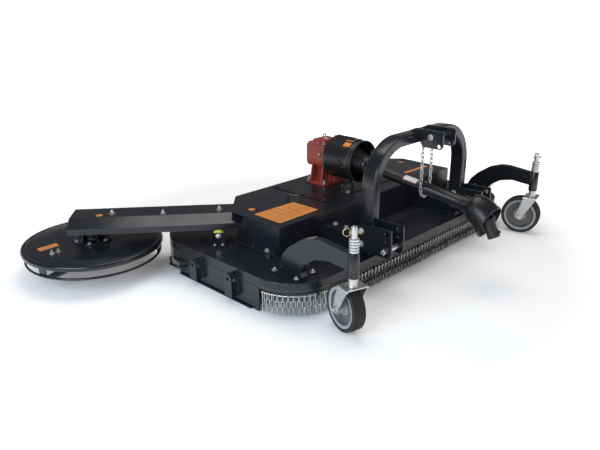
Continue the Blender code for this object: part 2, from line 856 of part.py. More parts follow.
# Master shield with its flap
def make_shield(black):
    rear = BODY_FRONT - INPUT_BOSS - SEAT
    length = rear - SHIELD_MOUTH
    base = vec(0, SHIELD_MOUTH, INPUT_Z)
    outer, wall = SHIELD_RADIUS, SHIELD_WALL
    profile = [
        (outer + 0.004, 0), (outer + 0.004, 0.008), (outer, 0.012), (outer, 0.030), (outer + 0.003, 0.034),
        (outer + 0.003, 0.040), (outer, 0.044), (outer, length), (INPUT_RADIUS + 0.02, length),
        (INPUT_RADIUS + 0.02, length - wall), (outer - wall, length - wall), (outer - wall, 0),
    ]
    shell = lathe(profile, base, (0, 1, 0), WIDE, hollow=True)
    top = INPUT_Z + outer
    window = block(-FLAP_HALF + 0.006, FLAP_HALF - 0.006, FLAP_FRONT + 0.012, BODY_FRONT - 0.050,
                   top - 0.060, top + 0.050)
    return solid("master_shield", black, [shell], [window])


def flap_hinge():
    return vec(0, BODY_FRONT - 0.026, INPUT_Z + SHIELD_RADIUS + 0.005)


def make_flap(black):
    """A slightly crowned lid over the shield's top window, hinged at its rear edge."""
    hinge = flap_hinge()
    over = SHIELD_RADIUS + 0.001
    outline = []
    for i in range(7):
        x = -FLAP_HALF + 2 * FLAP_HALF * i / 6
        outline.append((x, INPUT_Z + math.sqrt(over ** 2 - x ** 2)))
    upper = [(x, z + FLAP_THICK) for x, z in reversed(outline)]
    lid = prism(outline + upper, "Y", FLAP_FRONT, hinge.y - 0.004)
    rib = prism([(-0.016, over + INPUT_Z - 0.001), (0.016, over + INPUT_Z - 0.001),
                 (0.012, over + INPUT_Z + FLAP_RISE * 0.5), (-0.012, over + INPUT_Z + FLAP_RISE * 0.5)],
                "Y", FLAP_FRONT + 0.010, hinge.y - 0.020)
    knuckle = cylinder(hinge - vec(0.030, 0, 0), (1, 0, 0), 0.004, 0.060, 10)
    arm = block(-0.028, 0.028, hinge.y - 0.010, hinge.y + 0.001, hinge.z - 0.003, hinge.z)
    return solid("shield_flap", black, [lid, rib, knuckle, arm], pivot=hinge)


# Headstock
def band(outer, inner, axis, low, high):
    """A strip between two lines of points, given thickness along an axis."""
    place = {"X": lambda a, b, t: vec(t, a, b), "Y": lambda a, b, t: vec(a, t, b)}[axis]
    count = len(outer)
    points = []
    for t in (low, high):
        points += [place(a, b, t) for a, b in outer] + [place(a, b, t) for a, b in inner]
    faces = []
    a, b, c, d = 0, count, 2 * count, 3 * count
    for i in range(count - 1):
        j = i + 1
        faces.append((a + j, a + i, b + i, b + j))
        faces.append((c + i, c + j, d + j, d + i))
        faces.append((a + i, a + j, c + j, c + i))
        faces.append((b + j, b + i, d + i, d + j))
    faces.append((a, c, d, b))
    last = count - 1
    faces.append((b + last, d + last, c + last, a + last))
    return facing_out(points, faces)


def make_arch(paint):
    """One box tube: two legs and a top, with wide round corners."""
    centre_x = LEG_X + ARCH_HALF_X - ARCH_CORNER
    centre_z = ARCH_TOP - ARCH_CORNER
    lines = []
    for reach in (ARCH_CORNER, ARCH_CORNER - 2 * ARCH_HALF_X):
        line = [(-centre_x - reach, BEAM_TOP + SEAT)]
        for side, start in ((-1, 180), (1, 90)):
            for i in range(9):
                turn = math.radians(start - 90 * i / 8)
                line.append((side * centre_x + reach * math.cos(turn),
                             centre_z + reach * math.sin(turn)))
        line.append((centre_x + reach, BEAM_TOP + SEAT))
        lines.append(line)
    return solid("headstock_arch", paint, [band(*lines, "Y", -ARCH_HALF_Y, ARCH_HALF_Y)])


def beam_side():
    """Inner and outer face of a lower beam, as distances from the middle plane."""
    half = HITCH_THICK / 2 + SEAT
    return HITCH_INNER + half, HITCH_OUTER - half


def make_beam(name, side, paint):
    inner, outer = beam_side()
    rear = COVER_FRONT - SEAT
    low = DECK_TOP + SEAT
    profile = [(BEAM_FRONT, BEAM_LOW + 0.012), (BEAM_FRONT + 0.030, BEAM_LOW), (rear, BEAM_LOW),
               (rear, BEAM_TOP), (BEAM_FRONT, BEAM_TOP)]
    shells = [
        prism(profile, "X", inner, outer),
        block(LEG_X - FOOT_HALF_X, LEG_X + FOOT_HALF_X, FOOT_FRONT, rear, low, BEAM_LOW + 0.004),
    ]
    for y in (0.16, 0.24):
        shells += hex_bolt(vec(LEG_X, y, BEAM_TOP), (0, 0, 1), COVER_BOLT)
    return solid(name, paint, shells if side > 0 else mirrored(shells))


def make_hitch_plate(name, x, face, paint):
    """face is +1 where the bolt heads look away from the middle plane."""
    outline = [(0.075, 0.225), (0.075, 0.283), (0.056, 0.339), (-0.024, 0.376), (-0.196, 0.380),
               (-0.200, 0.243), (-0.185, 0.225)]
    half = HITCH_THICK / 2
    shells = [prism(outline, "X", x - half, x + half)]
    for z in HITCH_BOLT_Z:
        shells += hex_bolt(vec(x + face * half, HITCH_BOLT_Y, z), (face, 0, 0), HITCH_BOLT)
    cuts = []
    for y, z, radius in ((LINK_PIN_Y, LINK_PIN_Z, LINK_PIN_RADIUS + RUN),
                         (HITCH_HOLE_Y, HITCH_HOLE_Z, LINK_PIN_RADIUS + RUN)):
        cuts.append(cylinder((x - 0.02, y, z), (1, 0, 0), radius, 0.04, ROUND))
    slot = [(-0.178, 0.303), (-0.178, 0.317), (-0.158, 0.317), (-0.158, 0.303)]
    cuts.append(prism(slot, "X", x - 0.02, x + 0.02))
    return solid(name, paint, shells, cuts)


def make_link_pin(name, side, zinc):
    low = HITCH_INNER - HITCH_THICK / 2 - 0.014 - SEAT
    profile = [(LINK_PIN_RADIUS + 0.007, 0), (LINK_PIN_RADIUS + 0.007, 0.012),
               (LINK_PIN_RADIUS, 0.014), (LINK_PIN_RADIUS, HITCH_OUTER - low + 0.024),
               (LINK_PIN_RADIUS - 0.004, HITCH_OUTER - low + 0.029)]
    pin = lathe(profile, (low, LINK_PIN_Y, LINK_PIN_Z), (1, 0, 0), ROUND)
    ring_x = HITCH_OUTER + HITCH_THICK / 2 + 0.010
    linch = cylinder((ring_x, LINK_PIN_Y, LINK_PIN_Z - 0.024), (0, 0, 1), 0.0035, 0.048, 8)
    shells = [pin, linch]
    return solid(name, zinc, shells if side > 0 else mirrored(shells))


def bracket_outline():
    top = ARCH_TOP + SEAT
    face = -ARCH_HALF_Y - SEAT
    return [(0.030, top), (-0.005, top + 0.018), (-0.168, top + 0.018), (-0.182, top),
            (-0.182, top - 0.065), (-0.168, top - 0.080), (-0.062, top - 0.080),
            (face, top - 0.060), (face, top)]


def make_bracket(name, side, paint):
    x = side * BRACKET_HALF
    half = BRACKET_THICK / 2
    cuts = []
    for y, drop, radius in ((TOP_PIN_Y, TOP_PIN_DROP, TOP_PIN_RADIUS + RUN),
                            (TOP_HOLE_Y, TOP_HOLE_DROP, TOP_PIN_RADIUS)):
        cuts.append(cylinder((x - 0.02, y, ARCH_TOP - drop), (1, 0, 0), radius, 0.04, ROUND))
    return solid(name, paint, [prism(bracket_outline(), "X", x - half, x + half)], cuts)


def make_top_pin(zinc):
    outside = BRACKET_HALF + BRACKET_THICK / 2
    profile = [(TOP_PIN_RADIUS + 0.005, 0), (TOP_PIN_RADIUS + 0.005, 0.008),
               (TOP_PIN_RADIUS, 0.010), (TOP_PIN_RADIUS, 2 * outside + 0.032),
               (TOP_PIN_RADIUS - 0.003, 2 * outside + 0.036)]
    base = vec(-outside - 0.010 - SEAT, TOP_PIN_Y, ARCH_TOP - TOP_PIN_DROP)
    pin = lathe(profile, base, (1, 0, 0), ROUND)
    linch = cylinder(base + vec(2 * outside + 0.022, 0, -0.022), (0, 0, 1), 0.003, 0.044, 8)
    return solid("top_link_pin", zinc, [pin, linch])


# Casters
def arm_outline():
    """Side view of a caster arm: a swan neck from its foot on the deck to the housing."""
    foot = DECK_TOP + SEAT + FOOT_PLATE_THICK - 0.002
    return [(0.178, foot), (0.178, 0.242), (0.153, 0.292), (0.108, 0.339), (0.021, 0.401),
            (-0.042, 0.423), (-0.103, 0.427), (CASTER_Y, 0.409), (CASTER_Y, 0.327),
            (-0.144, 0.339), (-0.063, 0.319), (0.000, 0.279), (0.033, 0.230), (0.024, foot)]


def make_caster_arm(name, side, paint):
    half = CASTER_ARM_THICK / 2
    low = DECK_TOP + SEAT
    shells = [
        prism(arm_outline(), "X", CASTER_X - half, CASTER_X + half),
        block(CASTER_X - FOOT_PLATE_IN, CASTER_X + FOOT_PLATE_OUT, FOOT_PLATE_FRONT,
              FOOT_PLATE_REAR, low, low + FOOT_PLATE_THICK),
        lathe([(HOUSING_RADIUS, HOUSING_LOW), (HOUSING_RADIUS, HOUSING_TOP - 0.004),
               (HOUSING_RADIUS - 0.004, HOUSING_TOP)], (CASTER_X, CASTER_Y, 0), (0, 0, 1), ROUND),
    ]
    for x in (CASTER_X - FOOT_PLATE_IN + 0.020, CASTER_X + FOOT_PLATE_OUT - 0.018):
        for y in (FOOT_PLATE_FRONT + 0.020, FOOT_PLATE_REAR - 0.020):
            shells += hex_bolt(vec(x, y, low + FOOT_PLATE_THICK), (0, 0, 1), CASTER_BOLT)
    bore = cylinder((CASTER_X, CASTER_Y, HOUSING_LOW - 0.02), (0, 0, 1), SPINDLE_RADIUS + RUN,
                    HOUSING_TOP - HOUSING_LOW + 0.04, ROUND)
    cuts = [bore]
    if side < 0:
        shells, cuts = mirrored(shells), mirrored(cuts)
    return solid(name, paint, shells, cuts)


def caster_frame(side, turn):
    """From a caster's own frame, with the wheel trailing along +X, to the machine."""
    place = Matrix.Translation(vec(side * CASTER_X, CASTER_Y, 0))
    return place @ Matrix.Rotation(math.radians(turn), 4, "Z")


def make_fork(name, frame, pivot, zinc):
    """Spindle, sleeve, crown plate and two legs that slope back to the axle."""
    plate_top = FORK_PLATE_Z + FORK_PLATE_THICK
    sleeve_top = HOUSING_LOW - SEAT
    spindle = lathe([(SPINDLE_RADIUS, plate_top - 0.003), (SPINDLE_RADIUS, SPINDLE_TOP - 0.004),
                     (SPINDLE_RADIUS - 0.004, SPINDLE_TOP)], (0, 0, 0), (0, 0, 1), ROUND)
    sleeve = lathe([(SLEEVE_RADIUS + 0.004, plate_top - 0.001), (SLEEVE_RADIUS, plate_top + 0.004),
                    (SLEEVE_RADIUS, sleeve_top)], (0, 0, 0), (0, 0, 1), ROUND)
    rings = [(SPINDLE_RADIUS - 0.001, HOUSING_TOP + SEAT)]
    step = (RING_TOP - HOUSING_TOP) / RING_COUNT
    for i in range(RING_COUNT):
        low = HOUSING_TOP + SEAT + i * step
        rings += [(RING_RADIUS, low + 0.001), (RING_RADIUS, low + step - 0.003)]
        if i < RING_COUNT - 1:
            rings.append((RING_RADIUS - 0.004, low + step - 0.001))
    rings.append((SPINDLE_RADIUS - 0.001, RING_TOP - 0.0022))
    stack = lathe(rings, (0, 0, 0), (0, 0, 1), FINE)
    plate = prism(rounded_rect(-FORK_PLATE_BACK, FORK_PLATE_AHEAD, -FORK_HALF, FORK_HALF,
                               (0.006, 0.003, 0.003, 0.006), 2), "Z", FORK_PLATE_Z, plate_top)
    shells = [plate, spindle, sleeve, stack]
    for side in (-1, 1):
        edge = sorted((side * FORK_HALF, side * (FORK_HALF - FORK_LEG_THICK)))
        leg_top = FORK_PLATE_Z + 0.002
        leg = [(0.008 - FORK_PLATE_BACK, leg_top), (FORK_PLATE_AHEAD - 0.004, leg_top)]
        for i in range(6):
            angle = math.radians(30 - 180 * i / 5)
            leg.append((WHEEL_TRAIL + 0.021 * math.cos(angle), WHEEL_RADIUS + 0.021 * math.sin(angle)))
        shells.append(prism(leg, "Y", *edge))
        shells += hex_bolt(vec(WHEEL_TRAIL, side * FORK_HALF, WHEEL_RADIUS), (0, side, 0), 0.011)
    inside = FORK_HALF - FORK_LEG_THICK + 0.002
    shells.append(cylinder((WHEEL_TRAIL, -inside, WHEEL_RADIUS), (0, 1, 0), AXLE_RADIUS, 2 * inside, ROUND))
    linch_z = SPINDLE_TOP - 0.028
    shells.append(cylinder((-0.026, 0, linch_z), (1, 0, 0), 0.004, 0.052, 8))
    shells = [moved(shell, frame) for shell in shells]
    return solid(name, zinc, shells, pivot=pivot)


def make_wheel(side_name, frame, pivot, rubber, grey):
    centre = vec(WHEEL_TRAIL, 0, WHEEL_RADIUS)
    half = WHEEL_HALF
    tread = []
    pitch = (2 * half - 0.012) / WHEEL_RIBS
    for i in range(WHEEL_RIBS):
        left = -half + 0.006 + i * pitch
        tread += [(WHEEL_RADIUS, left + 0.001), (WHEEL_RADIUS, left + pitch - 0.0022)]
        if i < WHEEL_RIBS - 1:
            tread.append((WHEEL_RADIUS - 0.004, left + pitch - 0.0006))
    tyre_profile = [(RIM_RADIUS, -half + 0.003), (WHEEL_RADIUS - 0.010, -half)]
    tyre_profile += tread
    tyre_profile += [(WHEEL_RADIUS - 0.010, half), (RIM_RADIUS, half - 0.003)]
    tyre = lathe(tyre_profile, centre, (0, 1, 0), WIDE, hollow=True)
    hub = FORK_HALF - FORK_LEG_THICK - SEAT
    bore = bore_round(AXLE_RADIUS, SEAT, WIDE)
    rim_out = RIM_RADIUS - SEAT
    rim_profile = [
        (bore, -hub), (0.025, -hub), (0.028, -0.014), (0.070, -0.012), (0.086, -half + 0.006),
        (rim_out, -half + 0.003), (rim_out, half - 0.003), (0.086, half - 0.006), (0.070, 0.012),
        (0.028, 0.014), (0.025, hub), (bore, hub),
    ]
    rim = lathe(rim_profile, centre, (0, 1, 0), WIDE, hollow=True)
    return [
        solid(side_name + "_tyre", rubber, [moved(tyre, frame)], pivot=pivot),
        solid(side_name + "_wheel_rim", grey, [moved(rim, frame)], pivot=pivot),
    ]


# Blade rotors
def make_bearing_housing(name, x, steel):
    centre = (x, ROTOR_Y, 0)
    low = DECK_TOP + SEAT
    profile = [(ROTOR_SHAFT + RUN, BEARING_LOW), (BEARING_RADIUS, BEARING_LOW), (BEARING_RADIUS, low),
               (BEARING_FLANGE, low), (BEARING_FLANGE, low + 0.008), (0.045, low + 0.008),
               (0.040, BEARING_TOP), (ROTOR_SHAFT + RUN, BEARING_TOP)]
    return solid(name, steel, [lathe(profile, centre, (0, 0, 1), WIDE, hollow=True)])


def make_rotor(side, x, turn, steel, black):
    """Shaft with blade carrier and two blades, and the belt pulley on it."""
    pivot = (x, ROTOR_Y, BLADE_Z)
    left = x < 0
    shaft_top = ARM_PULLEY_TOP + 0.004 if left else PULLEY_TOP + 0.006
    carrier_low = BLADE_Z + BLADE_THICK / 2 + SEAT
    frame = Matrix.Translation(vec(x, ROTOR_Y, 0)) @ Matrix.Rotation(math.radians(turn), 4, "Z")
    bar = prism(rounded_rect(-ROTOR_REACH + BLADE_LENGTH - 0.02, ROTOR_REACH - BLADE_LENGTH + 0.02,
                             -0.045, 0.045, (0.03,) * 4, 3), "Z", carrier_low, carrier_low + CARRIER_THICK)
    hub_low = carrier_low + CARRIER_THICK
    shells = [
        moved(bar, frame),
        cylinder((x, ROTOR_Y, carrier_low + 0.003), (0, 0, 1), 0.055,
                 BEARING_LOW - SEAT - carrier_low - 0.003, ROUND),
        cylinder((x, ROTOR_Y, hub_low - 0.004), (0, 0, 1), ROTOR_SHAFT, shaft_top - hub_low + 0.004, ROUND),
    ]
    if left:
        collar_low = PULLEY_TOP + SEAT
        shells.append(cylinder((x, ROTOR_Y, collar_low), (0, 0, 1), ROTOR_SHAFT + 0.010,
                               ARM_LIP_Z - SEAT - collar_low, ROUND))
    tip = ROTOR_REACH
    for i in range(2):
        edge = [(tip - BLADE_LENGTH, -BLADE_WIDTH / 2), (tip - 0.012, -BLADE_WIDTH / 2),
                (tip - 0.004, 0), (tip - 0.030, BLADE_WIDTH / 2), (tip - BLADE_LENGTH, BLADE_WIDTH / 2)]
        low, high = BLADE_Z - BLADE_THICK / 2, BLADE_Z + BLADE_THICK / 2
        blade = prism(edge, "Z", low, high)
        wing = prism([(BLADE_WIDTH / 2 - 0.010, low + 0.001), (BLADE_WIDTH / 2 + 0.010, high + 0.014),
                      (BLADE_WIDTH / 2 + 0.010, high + 0.022), (BLADE_WIDTH / 2 - 0.012, high - 0.001)],
                     "X", tip - 0.095, tip - 0.035)
        bolt = cylinder((tip - BLADE_LENGTH + 0.022, 0, low - 0.010), (0, 0, 1), 0.013,
                        BLADE_THICK + 0.030, 6)
        spin = frame @ Matrix.Rotation(math.pi * i, 4, "Z")
        shells += [moved(shell, spin) for shell in (blade, wing, bolt)]
    nodes = [solid(side + "_blade_rotor", steel, shells, pivot=pivot)]
    pulley = pulley_shell((x, ROTOR_Y), PULLEY_RADIUS, ROTOR_SHAFT, PULLEY_LOW, PULLEY_TOP)
    nodes.append(solid(side + "_rotor_pulley", black, [pulley], pivot=pivot))
    return nodes


# Swing arm; its own frame has +X outwards along the arm and +Y towards the front
def arm_frame():
    return Matrix.Translation(vec(-ROTOR_X, ROTOR_Y, 0)) @ Matrix.Rotation(math.radians(ARM_ANGLE), 4, "Z")


def arm_section(inset, wide):
    """Half-widths and heights of the hat section, as (y, z) in the arm's frame."""
    top, shoulder = ARM_TOP - inset, ARM_SHOULDER_Z - inset * 0.2
    flat = ARM_TOP_HALF * wide / ARM_SHOULDER_HALF - inset * 0.45
    return [(-wide + inset, shoulder), (-flat, top), (flat, top), (wide - inset, shoulder)]


def arm_solid(inset, low, end):
    """The arm's hat section, a little narrower at the pivot than outside the cover."""
    points = []
    for x, wide in ((0, ARM_HUB_HALF), (ARM_TAPER_END, ARM_SHOULDER_HALF), (end, ARM_SHOULDER_HALF)):
        half = wide - inset
        outline = [(-half, low), *arm_section(inset, wide), (half, low)]
        points += [vec(x, y, z) for y, z in outline]
    count = len(points) // 3
    faces = [tuple(range(count))[::-1], tuple(range(2 * count, 3 * count))]
    for start in (0, count):
        for i in range(count):
            j = (i + 1) % count
            faces.append((start + i, start + j, start + count + j, start + count + i))
    return facing_out(points, faces)


def arm_cap(inset, low):
    """The round end over the pivot, turned from the same section."""
    section = arm_section(inset, ARM_HUB_HALF)
    shoulder, top = section[3], section[2]
    profile = [(0, low), (shoulder[0], low), shoulder, top, (0, top[1])]
    return lathe(profile, (0, 0, 0), (0, 0, 1), WIDE)


def make_arm(paint):
    frame = arm_frame()
    wall = ARM_WALL
    floor_top = ARM_LIP_Z + wall
    shells = [
        arm_solid(0, ARM_LIP_Z, ARM_LENGTH),
        arm_cap(0, ARM_LIP_Z),
    ]
    open_end = ARM_LENGTH - wall
    half = ARM_SHOULDER_HALF - wall
    cuts = [
        arm_solid(wall, floor_top, open_end),
        arm_cap(wall, floor_top),
        block(ARM_SHOULDER_HALF, DISC_REACH - ARM_FLOOR_END, -half, half, ARM_LIP_Z - 0.02, floor_top + 0.004),
        cylinder((0, 0, ARM_LIP_Z - 0.02), (0, 0, 1), ROTOR_SHAFT + RUN, 0.04, ROUND),
        cylinder((DISC_REACH, 0, ARM_LIP_Z - 0.02), (0, 0, 1), DISC_SHAFT + RUN, 0.04, ROUND),
    ]
    for x, y in ARM_BOLTS:
        shells += hex_bolt(vec(x, y, ARM_TOP), (0, 0, 1), ARM_BOLT)
    return solid("swing_arm_cover", paint, [moved(s, frame) for s in shells],
                 [moved(c, frame) for c in cuts], pivot=(-ROTOR_X, ROTOR_Y, ARM_LIP_Z))


def disc_centre():
    return arm_frame() @ vec(DISC_REACH, 0, 0)


def make_disc(paint, zinc, steel):
    """Side disc, its hub housing under the arm and the guard rod below its skirt."""
    centre = disc_centre()
    pivot = (-ROTOR_X, ROTOR_Y, ARM_LIP_Z)
    up = (0, 0, 1)
    low = DISC_TOP + SEAT
    r, t = DISC_RADIUS, DISC_WALL
    disc = lathe([
        (DISC_HUB_RADIUS, DISC_TOP), (r - 0.016, DISC_TOP), (r - 0.005, DISC_TOP - 0.004), (r, DISC_TOP - 0.014),
        (r, DISC_TOP - DISC_SKIRT), (r - t, DISC_TOP - DISC_SKIRT), (r - t, DISC_TOP - 0.015),
        (r - 0.017, DISC_TOP - t), (DISC_HUB_RADIUS, DISC_TOP - t)], centre, up, DISC_SIDES, hollow=True)
    hub = DISC_HUB_RADIUS - SEAT
    top = ARM_LIP_Z - SEAT
    bore = DISC_SHAFT + RUN
    housing = lathe([
        (bore, DISC_TOP - 0.040), (0.050, DISC_TOP - 0.040), (hub, DISC_TOP - 0.030), (hub, low),
        (DISC_FLANGE, low), (DISC_FLANGE, low + 0.008), (0.062, low + 0.010), (0.052, low + 0.020),
        (0.052, top - 0.014), (0.080, top - 0.008), (0.080, top), (bore, top)],
        centre, up, WIDE, hollow=True)
    shells = [housing]
    for i in range(6):
        out = direction(ARM_ANGLE + 30 + 60 * i) * (DISC_FLANGE - 0.014)
        shells.append(cylinder(centre + vec(0, 0, low + 0.006) + out, up, 0.008, 0.010, 6))
    ring = []
    for i in range(DISC_SIDES):
        turn = direction(360 * i / DISC_SIDES)
        ring.append(centre + turn * DISC_ROD_REACH + vec(0, 0, DISC_ROD_Z))
    guard = [swept(ring, DISC_ROD_RADIUS, 5, closed=True)]
    for i in range(DISC_STRAPS):
        angle = ARM_ANGLE + 180 + DISC_STRAP_START + 360 * i / DISC_STRAPS
        out = DISC_ROD_REACH - DISC_ROD_RADIUS + DISC_STRAP_THICK / 2
        strap = block(out - DISC_STRAP_THICK, out, -DISC_STRAP_HALF, DISC_STRAP_HALF, DISC_ROD_Z - 0.004,
                      DISC_TOP - t - SEAT)
        spin = Matrix.Translation(centre) @ Matrix.Rotation(math.radians(angle), 4, "Z")
        guard.append(moved(strap, spin))
    return [
        solid("side_disc", paint, [disc], pivot=pivot),
        solid("disc_hub_housing", steel, shells, pivot=pivot),
        solid("disc_guard_rod", zinc, guard, pivot=pivot),
    ]


def make_disc_rotor(steel, black):
    centre = disc_centre()
    pivot = (centre.x, centre.y, DISC_BLADE_Z)
    up = (0, 0, 1)
    top = ARM_PULLEY_TOP + 0.003
    hub_top = DISC_TOP - 0.040 - SEAT
    frame = Matrix.Translation(centre) @ Matrix.Rotation(math.radians(ARM_ANGLE + 60), 4, "Z")
    outline = rounded_rect(-DISC_BLADE_REACH + 0.004, DISC_BLADE_REACH - 0.004, -0.030, 0.030, (0.012,) * 4, 2)
    blade = prism(outline, "Z", DISC_BLADE_Z - 0.005, DISC_BLADE_Z + 0.005)
    shells = [
        cylinder(centre + vec(0, 0, DISC_BLADE_Z), up, DISC_SHAFT, top - DISC_BLADE_Z, ROUND),
        lathe([(0.075, DISC_BLADE_Z), (0.075, DISC_BLADE_Z + 0.014), (0.040, DISC_BLADE_Z + 0.022),
               (0.036, hub_top)], centre, up, ROUND),
        moved(blade, frame),
    ]
    pulley = pulley_shell(centre.xy, ARM_PULLEY_RADIUS, DISC_SHAFT, ARM_PULLEY_LOW + SEAT, ARM_PULLEY_TOP)
    return [
        solid("disc_blade_rotor", steel, shells, pivot=pivot),
        solid("disc_pulley", black, [pulley], pivot=pivot),
    ]


def make_arm_pulley(black):
    """The upper pulley on the left rotor's shaft, which drives the belt in the arm."""
    pulley = pulley_shell((-ROTOR_X, ROTOR_Y), ARM_PULLEY_RADIUS, ROTOR_SHAFT, ARM_PULLEY_LOW + SEAT,
                          ARM_PULLEY_TOP)
    return solid("arm_drive_pulley", black, [pulley], pivot=(-ROTOR_X, ROTOR_Y, BLADE_Z))


def make_roller(paint, yellow):
    """Roller that carries the arm, turning on a pin across the arm, in a bracket of bent plates."""
    frame = arm_frame()
    axis_z = ARM_LIP_Z - SEAT - ROLLER_RADIUS
    half = ROLLER_LENGTH / 2
    n = ROLLER_N
    low = DECK_TOP + SEAT
    t = ROLLER_PLATE
    front = half + 0.003
    edge = ROLLER_FLANGE
    top = axis_z + 0.018

    def across(x0, x1, n0, n1, z0, z1):
        return block(ROLLER_E + x0, ROLLER_E + x1, n + n0, n + n1, z0, z1)

    shells = [
        across(-edge - 0.008, edge + 0.008, -front - t, ROLLER_FRONT + 0.008, low, low + t),
        across(-edge, edge, front, front + t, low + t / 2, top),
        across(-0.022, 0.022, -front - t, -front, low + t / 2, axis_z + 0.012),
        across(-edge, -edge + t, front + t / 2, ROLLER_FRONT, low + t / 2, top),
        across(edge - t, edge, front + t / 2, ROLLER_FRONT, low + t / 2, top),
        cylinder((ROLLER_E, n - front - t - 0.004, axis_z), (0, 1, 0), ROLLER_PIN,
                 2 * (front + t) + 0.008, ROUND),
    ]
    shells += hex_bolt(vec(ROLLER_E, n + front + t, axis_z), (0, 1, 0), COVER_BOLT)
    bracket = solid("roller_bracket", paint, [moved(s, frame) for s in shells])
    r = ROLLER_RADIUS
    profile = [(ROLLER_PIN + RUN, -half), (r - 0.004, -half), (r, -half + 0.006), (r, half - 0.006),
               (r - 0.004, half), (ROLLER_PIN + RUN, half)]
    centre = vec(ROLLER_E, n, axis_z)
    roller = moved(lathe(profile, centre, (0, 1, 0), ROUND, hollow=True), frame)
    return bracket, solid("arm_roller", yellow, [roller], pivot=frame @ centre), frame @ centre


# PTO shaft; its own frame starts at the rear cross, with +X staying across and +Z along the shaft
def pto_frame():
    slope = math.radians(PTO_SLOPE)
    along = vec(0, -math.cos(slope), -math.sin(slope))
    across = vec(1, 0, 0)
    up = along.cross(across)
    turn = Matrix((across, up, along)).transposed().to_4x4()
    return Matrix.Translation(vec(0, JOINT_Y, INPUT_Z)) @ turn


def wide_yoke(inner, outer, base, hub_radius, hub_length):
    """A yoke whose two arms stand outside the cross; the cross is at the origin, the hub towards +Z."""
    shells = []
    for side in (-1, 1):
        edge = sorted((side * inner, side * outer))
        arm = []
        for i in range(7):
            turn = math.pi * (1 + i / 6)
            arm.append((YOKE_EYE * math.cos(turn), YOKE_EYE * math.sin(turn)))
        arm += [(YOKE_EYE * 0.85, base + 0.004), (-YOKE_EYE * 0.85, base + 0.004)]
        shells.append(prism(arm, "X", *edge))
    shells.append(cylinder((0, 0, base), (0, 0, 1), outer, YOKE_FLOOR, ROUND))
    shells.append(cylinder((0, 0, base + YOKE_FLOOR - 0.002), (0, 0, 1), hub_radius, hub_length, ROUND))
    return shells


def yoke_inside(reach):
    """Half the space between a wide yoke's arms, in which the cross of this reach still turns."""
    return math.hypot(reach, CROSS_PIN - CROSS_CHAMFER) + SEAT


def cross_yoke(reach, base):
    """A yoke that fits inside a wide one, with the cross in it; its tube goes on towards +Z."""
    half = YOKE_EYE * 0.8
    inner = reach * 0.66
    tip = CROSS_PIN - CROSS_CHAMFER
    pin = [(tip, -reach), (CROSS_PIN, CROSS_CHAMFER - reach), (CROSS_PIN, reach - CROSS_CHAMFER), (tip, reach)]
    shells = [
        lathe(pin, (0, 0, 0), (1, 0, 0), 12),
        lathe(pin, (0, 0, 0), (0, 1, 0), 12),
        lathe([(0.006, -0.013), (0.014, -0.006), (0.014, 0.006), (0.006, 0.013)], (0, 0, 0), (0, 0, 1), 12),
    ]
    width = math.sqrt(reach ** 2 - inner ** 2) * 0.95
    for side in (-1, 1):
        outline = [(-width, side * inner), (width, side * inner), (half * 0.7, side * reach * 0.9),
                   (-half * 0.7, side * reach * 0.9)]
        shells.append(prism(outline, "Z", -half, base + 0.003))
    shells.append(cylinder((0, 0, base), (0, 0, 1), reach * 0.97, YOKE_FLOOR, ROUND))
    return shells


def make_pto_rear(frame, pivot, black, steel):
    """Rear guard cone with the thin tube, and the outer profile tube that turns in it."""
    r, w = THIN_TUBE, GUARD_WALL
    end = THICK_START + 0.200
    neck = REAR_CONE_END
    wide = REAR_CONE_RADIUS
    middle = 0.052
    outer = [(wide, REAR_CONE_START), (wide - 0.004, REAR_CONE_START + 0.050), (middle + 0.004, neck - 0.020),
             (middle, neck), (r, neck + 0.004), (r, end)]
    inner = [(r - w, end), (r - w, neck), (PROFILE_OUTER + RUN, neck), (PROFILE_OUTER + RUN, neck - 0.008),
             (middle - w, neck - 0.010), (middle + 0.004 - w, neck - 0.024),
             (wide - 0.004 - w, REAR_CONE_START + 0.050), (wide - w, REAR_CONE_START)]
    guard = lathe(outer + inner, (0, 0, 0), (0, 0, 1), WIDE, hollow=True)
    tube_start = YOKE_BASE + YOKE_FLOOR
    tube_end = THICK_START + 0.120
    shells = cross_yoke(REAR_CROSS_REACH, YOKE_BASE)
    shells.append(cylinder((0, 0, tube_start - 0.002), (0, 0, 1), PROFILE_OUTER, tube_end - tube_start, ROUND))
    bore = cylinder((0, 0, tube_start + 0.030), (0, 0, 1), PROFILE_INNER + RUN, tube_end, ROUND)
    return (
        solid("rear_shaft_guard", black, [moved(guard, frame)], pivot=pivot),
        solid("outer_profile_tube", steel, [moved(s, frame) for s in shells], [moved(bore, frame)],
              pivot=pivot),
    )


def front_cross():
    return pto_frame() @ vec(0, 0, FRONT_CROSS)


def guard_ring(radius, run):
    """Ring of the front guard: straight along the shaft to the collar, then drooping to the mouth."""
    slope = math.radians(PTO_SLOPE)
    frame = pto_frame()
    share = max(0, (run - COLLAR_END) / MOUTH_LENGTH)
    centre = frame @ vec(0, 0, run)
    if share > 0:
        start = frame @ vec(0, 0, COLLAR_END)
        end = vec(0, MOUTH_Y, MOUTH_Z)
        bend = frame @ vec(0, 0, COLLAR_END + MOUTH_LENGTH / 2)
        centre = start * (1 - share) ** 2 + bend * 2 * share * (1 - share) + end * share ** 2
    tilt = slope + (math.radians(MOUTH_SLOPE) - slope) * share ** 2 * (3 - 2 * share)
    up = vec(0, -math.sin(tilt), math.cos(tilt))
    ring = []
    for i in range(WIDE):
        turn = 2 * math.pi * i / WIDE
        ring.append(centre + vec(1, 0, 0) * radius * math.cos(turn) + up * radius * math.sin(turn))
    return ring


